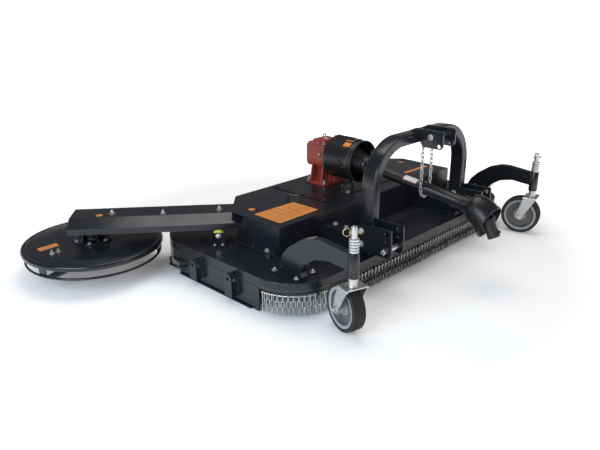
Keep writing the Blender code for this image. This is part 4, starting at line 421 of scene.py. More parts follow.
def surface(name, dark, light, rough, metal=0.0, scale=5.0, grain=160.0, bump=0.15, edge=None,
            stretch=None, specular=None, dust=None):
    """A finish with uneven colour and roughness, a fine grain and, where given, worn edges and dust."""
    graph = Finish(name)
    cloud = graph.noise(scale, 5.0, stretch)
    colour = graph.ramp(cloud, (0.34, dark), (0.66, light))
    if edge:
        worn = graph.node("ShaderNodeNewGeometry").outputs["Pointiness"]
        patchy = graph.span(graph.noise(scale * 9), 0.0, 1.0, 0.45, 0.6)
        rim = graph.span(worn, 0.0, 1.0, 0.53, 0.62)
        colour = graph.mix(graph.sums("ShaderNodeMath", "MULTIPLY", rim, patchy)[0], colour, edge)
    if dust:
        streaks = graph.noise(2.2, 6.0, (1.0, 3.4, 1.0))
        colour = graph.mix(graph.span(streaks, 0.0, 0.55, 0.56, 0.76), colour, dust)
    graph.link(colour, graph.shader.inputs["Base Color"])
    graph.link(graph.span(graph.noise(scale * 2.3, 3.0), *rough), graph.shader.inputs["Roughness"])
    graph.shader.inputs["Metallic"].default_value = metal
    if specular is not None:
        graph.shader.inputs["Specular IOR Level"].default_value = specular
    graph.bump(graph.noise(grain, 2.0), bump)


def make_finishes(settings):
    paint, red = tuple(settings.paint), tuple(settings.red)
    lifted = tuple(c * 1.22 + 0.0008 for c in paint)
    surface("paint", paint, lifted, (0.17, 0.25), scale=3, grain=60, bump=0.015, specular=0.50)
    surface("deck_paint", paint, lifted, (0.17, 0.27), scale=3, grain=60, bump=0.015, specular=0.50,
            dust=(0.050, 0.044, 0.036))
    surface("red_paint", tuple(c * 0.62 for c in red), red, (0.30, 0.48), grain=420, bump=0.45,
            scale=14, edge=(0.35, 0.16, 0.12))
    surface("zinc", (0.52, 0.52, 0.51), (0.68, 0.68, 0.67), (0.34, 0.48), 1, 14, 260, 0.06)
    # A dark steel for the front rod and the front chains below their top link: painted shade on the same
    # chain that hangs bright zinc at the corners.
    surface("chain_steel_painted_shade", (0.026, 0.025, 0.021), (0.085, 0.081, 0.068), (0.24, 0.38), 1, 30, 260, 0.10)
    surface("yellow_zinc", (0.55, 0.42, 0.20), (0.72, 0.62, 0.38), (0.25, 0.42), 1, 22, 300, 0.12)
    surface("steel", (0.20, 0.20, 0.205), (0.38, 0.375, 0.37), (0.30, 0.48), 1, 18, 240, 0.15)
    surface("blade_steel", (0.16, 0.16, 0.165), (0.30, 0.295, 0.29), (0.32, 0.52), 1, 12, 200, 0.2,
            stretch=(1, 1, 6))
    surface("cast", (0.012, 0.012, 0.013), (0.026, 0.025, 0.025), (0.34, 0.50), 0, 16, 380, 0.4)
    surface("black_plastic", (0.005, 0.005, 0.006), (0.009, 0.009, 0.010), (0.22, 0.34), 0, 12, 260, 0.05)
    surface("soft_plastic", (0.006, 0.006, 0.007), (0.011, 0.011, 0.012), (0.30, 0.42), 0, 14, 500, 0.12)
    surface("tyre", (0.010, 0.010, 0.010), (0.024, 0.023, 0.022), (0.58, 0.76), 0, 20, 600, 0.35)
    surface("belt", (0.012, 0.012, 0.012), (0.022, 0.022, 0.021), (0.6, 0.75), 0, 20, 500, 0.3)
    surface("wheel_grey", (0.30, 0.31, 0.32), (0.38, 0.39, 0.40), (0.30, 0.45), 0, 14, 260, 0.12)
    # A darker grey for the rims' recessed dish: painted shade, not a colour of its own.
    surface("wheel_dish_painted_shade", (0.085, 0.088, 0.088), (0.135, 0.138, 0.138), (0.30, 0.45), 0, 14, 260, 0.12)
    surface("orange_label", (0.56, 0.19, 0.035), (0.66, 0.25, 0.05), (0.34, 0.46), 0, 9, 120, 0.03)
    surface("label_ink", (0.10, 0.045, 0.012), (0.16, 0.07, 0.02), (0.34, 0.46), 0, 60, 120, 0.03)
    surface("white_label", (0.62, 0.61, 0.60), (0.76, 0.75, 0.74), (0.34, 0.46), 0, 9, 120, 0.03)
    surface("pink_label", (0.72, 0.16, 0.22), (0.80, 0.22, 0.28), (0.34, 0.46), 0, 9, 120, 0.03)
    surface("roller_yellow", (0.42, 0.46, 0.03), (0.60, 0.62, 0.06), (0.32, 0.48), 0, 16, 200, 0.1)
    surface("weld", (0.012, 0.0125, 0.014), (0.022, 0.0225, 0.024), (0.25, 0.4), 0, 30, 240, 0.4)


def both_sides(names):
    """The names of parts that the machine has on its left and on its right."""
    return [side + name for name in names.split() for side in ("left_", "right_")]


NODE_FINISH = {
    "deck_paint": ["deck_shell"],
    "paint": ["drive_cover", "centre_plate", "headstock_arch", "swing_arm_cover", "side_disc",
              "disc_guard_rod", "roller_bracket", "left_lifting_handle", "centre_lifting_handle",
              "side_guard_rod", *both_sides("lower_beam inner_hitch_plate outer_hitch_plate "
                                            "top_link_plate caster_arm")],
    "red_paint": ["gearbox_housing", "gearbox_lid"],
    "zinc": ["sling_chain", "top_link_pin", "front_chain_curtain",
             *both_sides("lower_link_pin corner_chains caster_fork")],
    "steel": ["input_shaft_with_crown_gear", "input_yoke", "output_shaft_with_pulley",
              "outer_profile_tube", "inner_profile_bar"],
    "blade_steel": ["disc_blade_rotor", *both_sides("blade_rotor")],
    "cast": ["disc_hub_housing", "arm_drive_pulley", "disc_pulley", "tractor_yoke",
             *both_sides("bearing_housing rotor_pulley")],
    "black_plastic": ["master_shield", "shield_flap", "rear_shaft_guard", "front_shaft_guard"],
    "belt": ["arm_belt", *both_sides("drive_belt")],
    "tyre": both_sides("tyre"),
    "wheel_grey": both_sides("wheel_rim"),
    "roller_yellow": ["arm_roller"],
}

ROUNDED_NODES = ["drive_cover", "centre_plate", "swing_arm_cover", "deck_shell",
                 *both_sides("lower_beam inner_hitch_plate outer_hitch_plate top_link_plate")]


def dress_nodes(rounding):
    """Gives every solid its finish, and rounds the edges of the folded and cut sheets."""
    for finish, names in NODE_FINISH.items():
        for name in names:
            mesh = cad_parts[name].data
            if not mesh.materials:
                mesh.materials.append(None)
            for i in range(len(mesh.materials)):
                mesh.materials[i] = FINISH[finish]
    for name in ROUNDED_NODES:
        round_edges(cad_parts[name], rounding, 28)


def spread(i, salt=0.0):
    """A fixed, uneven number from -1 to 1 for each index."""
    value = math.sin(i * 12.9898 + salt * 78.233) * 43758.5453
    return 2 * (value - math.floor(value)) - 1


# Chains
def rod_frame(run):
    """Place and direction on the chain rod, counted from the middle plane to the right."""
    if run < CORNER_X:
        return Vector((run, ROD_Y, ROD_Z)), X
    radius = FRONT_ROUND - ROD_INSET
    turn = heading(math.degrees((run - CORNER_X) / radius))
    centre = Vector((CORNER_X, ROD_Y + radius, ROD_Z))
    return centre + Vector((turn.y, -turn.x, 0)) * radius, turn


def hanging_chain(shape, place, tangent, index, slots=(0, 0)):
    """Links under a rod: the first one goes round the rod, and the next ones turn a quarter each."""
    wire, width, top, low, links = 0.0026, 0.0195, 0.0094, 0.0135, 3
    sway, swing, most_twist = math.radians(3.0), math.radians(1.5), math.radians(8)
    length = (place.z + top - low + (links - 1) * 4 * wire) / links
    pitch = length - 4 * wire
    normal = Z.cross(tangent)
    lean = Matrix.Rotation(sway * spread(index), 3, tangent)
    lean = lean @ Matrix.Rotation(swing * spread(index, 1), 3, normal)
    twist = most_twist * spread(index, 2)
    for k in range(links):
        drop = Z * (top - length / 2 - pitch * k)
        wide = Matrix.Rotation(twist * k, 3, "Z") @ (tangent if k % 2 else normal)
        shape.link(place + lean @ drop, lean @ -Z, lean @ wide, length, width, wire, slots[min(k, 1)])


def add_curtains(settings):
    """Chains side by side on a straight rod in front, and on a bent rod round each corner."""
    step, radius, edge = settings.chain_step, 0.0045, 0.790
    front = Shape()
    # The rod and the lower links are dark steel, painted shade; the top links keep the chains' bright zinc,
    # which also stands for the row of highlights along the rod.
    front.rod((-edge, ROD_Y, ROD_Z), (edge, ROD_Y, ROD_Z), radius, 14)
    count = int(2 * (edge - 0.004) / step)
    for i in range(count):
        hanging_chain(front, Vector(((i + 0.5 - count / 2) * step, ROD_Y, ROD_Z)), X, i, (1, 0))
    make("front_chains", front, ["chain_steel_painted_shade", "zinc"], "chain_curtain", ["front_chain_curtain"])
    # Round the corner the chains hang closer, and lean by their own row of numbers
    closer, own_row = 0.9, 200
    corner = Shape()
    start, end = 0.8075, CORNER_X + (FRONT_ROUND - ROD_INSET) * math.pi / 2 - 0.018
    corner.tube([rod_frame(start + (end - start) * k / 24)[0] for k in range(25)], radius, 14)
    count = int((end - start) / (step * closer))
    for i in range(count):
        place, tangent = rod_frame(start + (i + 0.5) * (end - start) / count)
        hanging_chain(corner, place, tangent, i + own_row)
    make("right_corner_chain_links", corner, ["zinc"], "deck", ["right_corner_chains"])
    make("left_corner_chain_links", corner.mirrored(), ["zinc"], "deck", ["left_corner_chains"])


def add_sling():
    """The chain that holds the shaft guard: down from a bar, under the guard and up again."""
    half, y, wire, width, usual_pitch = 0.045, -0.050, 0.0028, 0.0175, 0.0245
    guard_z = INPUT_Z - (JOINT.y - y) * math.tan(SLOPE)
    bar_z, hook = ARCH_TOP - 0.065, 0.004
    leg = bar_z - guard_z - hook
    total = 2 * leg + math.pi * half
    count = round(total / usual_pitch)
    count += 1 - count % 2
    pitch = total / count
    shape = Shape()
    for i in range(count):
        run = (i + 0.5) * pitch
        if run < leg:
            place, tangent = Vector((-half, y, bar_z - hook - run)), -Z
        elif run < leg + math.pi * half:
            a = math.pi + (run - leg) / half
            place = Vector((half * math.cos(a), y, guard_z + half * math.sin(a)))
            tangent = Vector((-math.sin(a), 0, math.cos(a)))
        else:
            place, tangent = Vector((half, y, bar_z - hook - (total - run))), Z
        across = Y.cross(tangent) if i % 2 else Y
        shape.link(place, tangent, across, pitch + 4 * wire, width, wire, bends=6, sides=8)
    reach = machine_box("left_top_link_plate")[1].x + SPACE
    shape.rod((reach, y, bar_z), (-reach, y, bar_z), 0.0045)
    make("sling_links", shape, ["zinc"], "deck", ["sling_chain"])


# Casters
def caster_place(word, side):
    return Matrix.Translation((side * CASTER_X, CASTER_Y, 0)) @ rotated(CASTER_TURN[word])


def spindle_profile():
    """The caster's spindle: a stem, five spacer rings and the turned top."""
    rings, first, pitch = 5, 0.4175, 0.0136
    profile = [(0.0140, 0.252), (0.0140, 0.4165)]
    for k in range(rings):
        low = first + k * pitch
        profile += [(0.0175, low), (0.0222, low + 0.0006), (0.0235, low + 0.0022), (0.0235, low + 0.0108),
                    (0.0222, low + 0.0124), (0.0175, low + 0.013)]
    return profile + [(0.0145, 0.4857), (0.0145, 0.496), (0.0138, 0.498), (0.0145, 0.500),
                      (0.0145, 0.536), (0.0120, 0.541)]


def add_forks():
    """Bent fork crowns with their legs and axles, spindles, and pins with a ring."""
    axle = Vector((WHEEL_TRAIL, 0, WHEEL_RADIUS))
    half, inner = FORK_HALF, FORK_HALF - SHEET
    leg_top, crown_top, pin_z = 0.240, 0.253, 0.513
    bend = [(-half, leg_top), (-half, crown_top), (half, crown_top), (half, leg_top), (inner, leg_top),
            (inner, crown_top - SHEET), (-inner, crown_top - SHEET), (-inner, leg_top)]
    leg = [(-0.035, leg_top + 0.0005), (0.042, leg_top + 0.0005)] + arc((axle.x, axle.z), 0.021, 30, -150, 14)
    for word, side in SIDES:
        shape = Shape()
        shape.place = caster_place(word, side)
        shape.plate(rounded(bend, [0, 0.012, 0.012, 0, 0, 0.006, 0.006, 0], 6), "X", -0.040, 0.043)
        for way in (-1, 1):
            shape.plate(leg, "Y", *sorted((way * half, way * inner)))
            shape.nut((axle.x, way * half, axle.z), Y * way, 0.0115, 0, 0.005)
        shape.rod(axle - Y * (half - 0.004), axle + Y * (half - 0.004), 0.0079, 24)
        shape.turned([(0.0265, 0.2525), (0.0265, 0.2545), (0.0235, 0.258), (0.0225, 0.262), (0.0225, 0.2915)])
        shape.turned(spindle_profile())
        # Both pins point the same way across the machine, whichever way their casters stand
        beside = rotated(-CASTER_TURN[word]).to_3x3() @ Vector((-0.698, 0.716, 0))
        middle = Z * pin_z
        shape.rod(middle + beside * 0.024, middle - beside * 0.024, 0.0042, 12, 1, 0.001)
        shape.turned([(0.002, 0), (0.0075, 0.001), (0.008, 0.006), (0.0045, 0.009)],
                     middle - beside * 0.020, -beside, 14, 1)
        shape.tube(around(middle + beside * 0.033, beside, Z, 0.018, 24), 0.0018, 8, True, 1)
        make(word + "_caster_fork_fine", shape, ["zinc", "yellow_zinc"], word + "_caster",
             [word + "_caster_fork"], bevel=0.0007)


def tyre_profile():
    """Round the tyre from one side wall over five ribs to the other, and back inside."""
    side_wall = [(0.1030, 0.0315), (0.1048, 0.0340), (0.1080, 0.0357), (0.1120, 0.0359), (0.1160, 0.0348),
                 (0.1188, 0.0328), (0.1203, 0.0300)]
    ribs, width, depth, groove = 5, 0.058, 0.0040, 0.0028
    profile = [(r, -t) for r, t in side_wall]
    for k in range(ribs):
        left = -width / 2 + k * width / ribs
        right = left + width / ribs - groove
        crown = WHEEL_RADIUS - 0.0009 * (k - 2) ** 2
        profile += [(crown - 0.0006, left), (crown, left + 0.0010), (crown, right - 0.0010),
                    (crown - 0.0006, right)]
        if k < ribs - 1:
            profile += [(crown - depth, right + 0.0004), (crown - depth, right + groove - 0.0004)]
    return profile + [(r, t) for r, t in reversed(side_wall)] + [(0.1020, 0.0260), (0.1020, -0.0260)]


def add_wheels():
    """Ribbed tyres on grey rims whose recessed dish is painted a darker grey as painted shade, a long hub and
    small bolts.
    """
    centre = Vector((WHEEL_TRAIL, 0, WHEEL_RADIUS))
    half_rim = [(0.1015, 0.0300), (0.1015, 0.0335), (0.0995, 0.0345), (0.0960, 0.0338), (0.0885, 0.0320),
                (0.0865, 0.0300), (0.0850, 0.0200), (0.0810, 0.0150), (0.0750, 0.0130), (0.0560, 0.0134),
                (0.0520, 0.0160), (0.0440, 0.0164), (0.0400, 0.0138), (0.0290, 0.0140), (0.0265, 0.0175),
                (0.0250, 0.0490), (0.0235, 0.0525), (0.0135, 0.0530), (0.0084, 0.0525)]
    profile = half_rim + [(r, -t) for r, t in reversed(half_rim)]
    shaded_dish_low, shaded_dish_high, sides = 0.0395, 0.086, 64
    bolts, bolt_circle, bolt_face = 6, 0.034, 0.0136
    for word, side in SIDES:
        tyre = Shape()
        tyre.place = caster_place(word, side)
        tyre.turned(tyre_profile(), centre, Y, 72, 0, True)
        make(word + "_tyre_fine", tyre, ["tyre"], word + "_wheel", [word + "_tyre"], sharp=50)
        rim = Shape()
        rim.place = tyre.place
        rim.turned(profile, centre, Y, sides, 0, True)
        # The faces of the recessed dish take the darker grey: painted shade in the recess.
        for k, (r, t) in enumerate(profile):
            if shaded_dish_low < min(r, profile[(k + 1) % len(profile)][0]) < shaded_dish_high:
                rim.slots[k * sides:(k + 1) * sides] = [2] * sides
        for way in (-1, 1):
            for k in range(bolts):
                out = heading(360 * k / bolts + 15) * bolt_circle
                rim.bolt(centre + Vector((out.x, way * bolt_face, out.y)), Y * way, 0.0042, 1, False)
        make(word + "_rim_fine", rim, ["wheel_grey", "zinc", "wheel_dish_painted_shade"], word + "_wheel",
             [word + "_wheel_rim"])


def swan_neck():
    """Side view of a caster arm, with its corners drawn round."""
    foot = DECK_TOP + SHEET
    sharp = [(0.178, foot), (0.178, 0.242), (0.153, 0.292), (0.108, 0.339), (0.021, 0.401), (-0.042, 0.423),
             (-0.103, 0.427), (CASTER_Y, 0.409), (CASTER_Y, 0.327), (-0.144, 0.339), (-0.063, 0.319),
             (0.000, 0.279), (0.033, 0.230), (0.024, foot)]
    radii = [0, 0.06, 0.06, 0.08, 0.09, 0.08, 0.10, 0, 0, 0.09, 0.06, 0.06, 0.06, 0]
    return rounded(sharp, radii, 6)


def add_caster_arms():
    """A swan neck on a bolted foot with a brace, and the housing of its spindle."""
    foot_top, half = DECK_TOP + 0.008, 0.020
    housing = [(0.0148, 0.2925), (0.0255, 0.2925), (0.0270, 0.294), (0.0270, 0.4145), (0.0255, 0.4165),
               (0.0148, 0.4165)]
    for word, side in SIDES:
        shape = Shape()
        shape.plate(swan_neck(), "X", CASTER_X - half, CASTER_X + half)
        foot = rounded(oblong(CASTER_X - 0.097, CASTER_X + 0.058, 0.020, 0.215), 0.008, 3)
        shape.plate(foot, "Z", DECK_TOP + SPACE, foot_top)
        shape.turned(housing, (CASTER_X, CASTER_Y, 0), Z, 40, 0, True)
        for x in (CASTER_X - 0.077, CASTER_X + 0.040):
            for y in (0.040, 0.195):
                shape.nut((x, y, foot_top), Z, 0.0105, 1)
        brace = [(CASTER_X - half, foot_top), (CASTER_X - half, 0.262), (CASTER_X - 0.080, foot_top)]
        shape.plate(brace, "Y", 0.112, 0.120)
        if side < 0:
            shape = shape.mirrored()
        make(word + "_caster_arm_fine", shape, ["paint", "zinc"], "deck", [word + "_caster_arm"],
             bevel=0.0028)


# Headstock and hitch
def add_arch():
    """One bent box tube, drawn as a rounded section that follows its middle line, and its welds."""
    half_x, half_y, corner, foot, knee = 0.0275, 0.0415, 0.250, 0.2905, 0.42
    leg_x = ARCH_HALF - half_x
    bend = corner - half_x
    centre_x, centre_z = leg_x - bend, ARCH_TOP - corner
    line = [((-leg_x, foot), 0), ((-leg_x, knee), 0)]
    for side, start in ((-1, 180), (1, 90)):
        line += [(point, 180 - start + 5 * k)
                 for k, point in enumerate(arc((side * centre_x, centre_z), bend, start, start - 90, 18))]
    line += [((leg_x, knee), 180), ((leg_x, foot), 180)]
    section = rounded(oblong(-half_x, half_x, -half_y, half_y), 0.008, 4)
    shape = Shape()
    rings = []
    for (x, z), turn in line:
        a = math.radians(turn)
        inward = Vector((math.cos(a), 0, -math.sin(a)))
        rings.append([Vector((x, 0, z)) + inward * u + Y * v for u, v in section])
    shape.strips(rings)
    for side in (-1, 1):
        for z, radius in ((foot + 0.003, 0.0035), (0.548, 0.0016)):
            shape.tube([(side * leg_x + u, v, z) for u, v in section], radius, 8, True, 1)
    make("headstock_arch_fine", shape, ["paint", "weld"], "deck", ["headstock_arch"])


def add_hitch():
    """Bolts of the hitch plates and beams, the lower link pins, and the top link pin with its clip."""
    fixings = Shape()
    inner_face, outer_face, beam_x, beam_z = 0.3952, 0.513, 0.435, 0.290
    for side in (-1, 1):
        for x, face in ((inner_face, -1), (outer_face, 1)):
            for z in (0.332, 0.260):
                fixings.nut((side * x, -0.006, z), X * side * face, 0.0135)
        for y in (0.16, 0.24):
            fixings.bolt((side * beam_x, y, beam_z), Z, 0.0105)
    make("hitch_fixings", fixings, ["zinc"], "deck")
    y, z, low, high, stop = -0.163, 0.262, 0.3810, 0.537, 0.5235
    for word, side in SIDES:
        pin = Shape()
        pin.turned([(0.010, low), (0.0200, low + 0.001), (0.0210, low + 0.003), (0.0210, low + 0.011),
                    (0.0140, low + 0.0135), (0.0140, high - 0.007), (0.0135, high - 0.005), (0.0100, high)],
                   (0, y, z), X)
        pin.rod((stop, y, z - 0.019), (stop, y, z + 0.019), 0.0030, 10, 0, 0.001)
        if side < 0:
            pin = pin.mirrored()
        make(word + "_lower_link_pin_fine", pin, ["zinc"], "deck", [word + "_lower_link_pin"])
    low, high = (corner.x for corner in machine_box("top_link_pin"))
    y, z = -0.108, ARCH_TOP - 0.0195
    pin = Shape()
    pin.turned([(0.010, low), (0.0165, low + 0.001), (0.0172, low + 0.002), (0.0172, low + 0.007),
                (0.0125, low + 0.009), (0.0125, high - 0.005), (0.0095, high)], (0, y, z), X)
    clip = Vector((high - 0.014, y, z))
    head, reach, drop = 0.0162, 0.018, 0.0171
    pin.rod(clip - Z * 0.0198, clip + Z * reach, 0.00315, 12, 1, 0.001)
    pin.turned([(0.002, 0), (0.0065, 0.001), (0.007, 0.005), (0.0045, 0.008)], clip + Z * head, Z, 14, 1)
    ring = []
    for k in range(22):
        a = math.radians(100 + 340 * k / 21)
        ring.append(clip + Z * reach * math.sin(a) - Y * (0.002 + drop * (1 + math.cos(a))))
    pin.tube(ring, 0.0014, 8, False, 1)
    make("top_link_pin_fine", pin, ["zinc", "yellow_zinc"], "deck", ["top_link_pin"])


# Drive shaft and gearbox
COLLAR, MOUTH = 0.850, 0.135
MOUTH_END, MOUTH_TILT = Vector((0, -0.460, 0.3565)), math.radians(23)


def shaft_place(run):
    """A point on the shaft's middle line, this far from the rear joint."""
    return JOINT + ALONG_SHAFT * run


def shaft_ring(radius, run):
    """A ring of the guard: straight to the collar, then drooping to the mouth."""
    share = max(0.0, (run - COLLAR) / MOUTH)
    centre = shaft_place(run)
    if share > 0:
        start, bend = shaft_place(COLLAR), shaft_place(COLLAR + MOUTH / 2)
        centre = start * (1 - share) ** 2 + bend * 2 * share * (1 - share) + MOUTH_END * share ** 2
    tilt = SLOPE + (MOUTH_TILT - SLOPE) * share ** 2 * (3 - 2 * share)
    return around(centre, X, Vector((0, -math.sin(tilt), math.cos(tilt))), radius, 48)


def add_rear_guard():
    """The wide bellows at the gearbox and the thin guard tube."""
    end, folds, pitch, taper = 0.7400, 7, 0.0125, 0.0044
    outer = [(0.0840, 0.0200), (0.0875, 0.0212), (0.0880, 0.0260), (0.0862, 0.0290)]
    for k in range(folds):
        t = 0.030 + k * pitch
        r = 0.0855 - k * taper
        outer += [(r - 0.0030, t + 0.001), (r + 0.0008, t + 0.0052), (r + 0.0008, t + 0.0072),
                  (r - 0.0048, t + 0.0115)]
    outer += [(0.0535, 0.1195), (0.0545, 0.1215), (0.0545, 0.1330), (0.0520, 0.1360), (0.0520, 0.1440),
              (0.0420, 0.1475), (0.0335, 0.1490), (0.0315, 0.1500), (0.0315, end)]
    inner = [(0.0290, end), (0.0290, 0.1450), (0.0252, 0.1450), (0.0252, 0.1370), (0.0490, 0.1350),
             (0.0500, 0.1200), (0.0700, 0.0600), (0.0820, 0.0300), (0.0820, 0.0200)]
    shape = Shape()
    shape.strips([shaft_ring(r, t) for r, t in outer + inner], 0, True)
    make("rear_guard_fine", shape, ["soft_plastic"], "shaft_tilt", ["rear_shaft_guard"], sharp=55)


def add_front_guard():
    """The thicker tube, its collar with grooves and raised grips, and the drooping cone."""
    start, grooves, groove_pitch = 0.5400, 7, 0.0058
    grips, grip_rows, grip_pitch = 28, 3, 0.0140
    outer = [(0.0350, start), (0.0360, 0.5410), (0.0360, 0.5600), (0.0372, 0.5615), (0.0372, 0.5665),
             (0.0360, 0.5680), (0.0360, 0.8030), (0.0400, 0.8050), (0.0432, 0.8065)]
    for k in range(grooves):
        t = 0.8075 + k * groove_pitch
        outer += [(0.0440, t), (0.0440, t + 0.0034), (0.0424, t + 0.0042), (0.0424, t + 0.0052)]
    cone = [(0.0440, 0), (0.0500, 0.010), (0.0560, 0.035), (0.0640, 0.08), (0.0720, 0.14), (0.0780, 0.22),
            (0.0825, 0.36), (0.0860, 0.55), (0.0885, 0.74), (0.0908, 0.93), (0.0942, 0.94), (0.0950, 0.955),
            (0.0950, 0.985), (0.0940, 1), (0.0915, 1), (0.0880, 0.92), (0.0835, 0.54), (0.0755, 0.24),
            (0.0535, 0.07)]
    inner = [(0.0415, COLLAR), (0.0415, 0.8380), (0.0182, 0.8380), (0.0182, 0.8300), (0.0335, 0.8300),
             (0.0335, 0.5540), (0.0322, 0.5520), (0.0322, start)]
    profile = outer + [(r, COLLAR + MOUTH * share) for r, share in cone] + inner
    shape = Shape()
    shape.strips([shaft_ring(r, t) for r, t in profile], 0, True)
    for out in around(Vector(), X, ABOVE_SHAFT, 1, grips):
        side = ALONG_SHAFT.cross(out)
        for row in range(grip_rows):
            p = shaft_place(0.8100 + row * grip_pitch) + out * 0.0436
            shape.strips([[p + (ALONG_SHAFT * u + side * v) * s + out * h
                           for u, v in ((0, -1), (1, 0), (0, 1), (-1, 0))]
                          for s, h in ((0.0032, -0.001), (0.0018, 0.0012))])
    make("front_guard_fine", shape, ["soft_plastic"], "shaft_slide", ["front_shaft_guard"], sharp=50)


def add_guard_label():
    """A white sticker with a pink edge round the upper side of the thin tube."""
    low, high, border = 0.415, 0.507, 0.004
    label = Shape()
    for slot, ends, radius, first, last in ((1, (low, high), 0.0317, 28, 118),
                                            (0, (low + border, high - border), 0.0319, 34, 112)):
        across = arc((0, 0), radius, first, last, 16)
        label.sheet([[shaft_place(t) + ABOVE_SHAFT * up - X * out for out, up in across] for t in ends], slot)
    make("guard_label", label, ["white_label", "pink_label"], "shaft_tilt")


def add_shield():
    """The master shield: an open drum with beads, a window on top, four oval slots drawn as shallow black
    dimples as painted shade, and a latch bolt.
    """
    radius, mouth, wall, sides = 0.127, 0.400, 0.004, 72
    back, bore = 0.2257, 0.0385
    stations = [(0.1300, 0.0), (0.1310, 0.0015), (0.1310, 0.0070), (0.1295, 0.0090), (radius, 0.0110),
                (radius, 0.0300), (0.1283, 0.0325), (0.1283, 0.0375), (radius, 0.0400), (radius, 0.0580),
                (radius, 0.0900), (radius, 0.1250), (radius, 0.1600), (radius, 0.1900), (radius, 0.2150),
                (0.1250, 0.2235), (0.1200, back), (0.0900, back), (0.0400, back)]
    # The window on top: from the first to the last station, and half its columns to each side
    first, last, half = 9, 13, 5
    window = [*range(sides - half, sides), *range(half)]

    def ring(r, t):
        return around(Vector((0, mouth + t, INPUT_Z)), Z, X, r, sides)

    outer = [ring(r, t) for r, t in stations]
    inner = [ring(max(r - wall, bore), t - wall if t > 0.2200 else t) for r, t in stations]
    points = [p for row in outer + inner for p in row]
    inside = len(stations) * sides
    faces = []

    def edge(k, i, m, j):
        """A face across the wall, where the drum ends or the window is cut."""
        a, b = k * sides + i, m * sides + j
        faces.append((a, b, b + inside, a + inside))

    for k in range(len(stations) - 1):
        for i in range(sides):
            if first <= k < last and i in window:
                continue
            j = (i + 1) % sides
            a, b = k * sides, (k + 1) * sides
            faces.append((a + i, a + j, b + j, b + i))
            a, b = a + inside, b + inside
            faces.append((a + i, b + i, b + j, a + j))
    for k in range(first, last):
        for i in (half, sides - half):
            edge(k, i, k + 1, i)
    for rows, columns in (((first, last), window), ((0, len(stations) - 1), range(sides))):
        for k in rows:
            for i in columns:
                edge(k, i, k, (i + 1) % sides)
    shape = Shape()
    shape.add(points, faces)
    # The four oval slots are closed dimples in the darker black plastic, not cuts: painted shade inside the
    # slots.
    for degrees, y in ((-88, 0.484), (-95, 0.464), (88, 0.484), (95, 0.464)):
        out = Vector((math.sin(math.radians(degrees)), 0, math.cos(math.radians(degrees))))
        at = Vector((0, y, INPUT_Z)) + out * (radius - 0.0005)
        side = out.cross(Y)
        outline = oval(0, 0, 0.007, 0.0055)
        shape.strips([[at + (side * u + Y * v) * s + out * h for u, v in outline]
                      for s, h in ((1.2, 0.0), (1.2, 0.0010), (1.0, 0.0010), (0.95, 0.0004))], 1)
    latch = math.radians(76)
    out = Vector((math.sin(latch), 0, math.cos(latch)))
    shape.bolt(Vector((0, mouth + 0.028, INPUT_Z)) + out * (radius - wall + 0.0008), -out, 0.0095, 2)
    label = arc((0, INPUT_Z), radius + 0.0006, 130, 114, 8)
    shape.sheet([[(x, y, z) for x, z in label] for y in (0.4475, 0.498)], 3)
    make("master_shield_fine", shape, ["soft_plastic", "black_plastic", "zinc", "orange_label"], "deck",
         ["master_shield"], sharp=50)


def add_shield_flap():
    """The flap over the shield's window, with its rib, hinge pin, label and catch."""
    hinge = Vector((0, 0.614, INPUT_Z + 0.132))
    under, half, front, thick = 0.128, 0.052, 0.4465, 0.0026
    top = INPUT_Z + under
    columns = 14

    def drum_z(x):
        return INPUT_Z + math.sqrt(under ** 2 - x ** 2)

    flap = Shape()
    rows = []
    for y, lift, share in ((front, 0.0, 0.0), (front + 0.002, 0.001, 0.9), (front + 0.01, 0.0012, 1.0),
                           (hinge.y - 0.016, 0.0012, 1.0), (hinge.y - 0.005, 0.0, 0.0)):
        upper, lower = [], []
        for k in range(columns + 1):
            x = -half + 2 * half * k / columns
            crown = 0.002 * share if 2 <= k <= columns - 2 else 0.0
            upper.append(Vector((x, y, drum_z(x) + thick + lift * 0.5 + crown)))
            lower.append(Vector((x, y, drum_z(x))))
        rows.append(upper + lower[::-1])
    flap.strips(rows)
    rib = [(-0.015, top + 0.002), (0.015, top + 0.002), (0.012, top + 0.0095), (-0.012, top + 0.0095)]
    flap.plate(rounded(rib, 0.002, 3), "Y", front + 0.012, hinge.y - 0.022)
    flap.rod(hinge - X * 0.030, hinge + X * 0.030, 0.004, 16, 1, 0.001)
    flap.block(-0.028, 0.028, hinge.y - 0.012, hinge.y + 0.001, hinge.z - 0.003, hinge.z)
    label = [-0.046 + 0.028 * k / 6 for k in range(7)]
    flap.sheet([[(x, y, drum_z(x) + 0.0051) for x in label] for y in (0.450, 0.500)], 2)
    flap.block(-0.009, 0.009, front - 0.001, front + 0.020, top + 0.0035, top + 0.007, 1)
    make("shield_flap_fine", flap, ["soft_plastic", "zinc", "orange_label"], "shield_flap_hinge",
         ["shield_flap"])


GEARBOX_Y, GEARBOX_FRONT, GEARBOX_REAR, GEARBOX_TOP = 0.700, 0.640, 0.790, 0.605


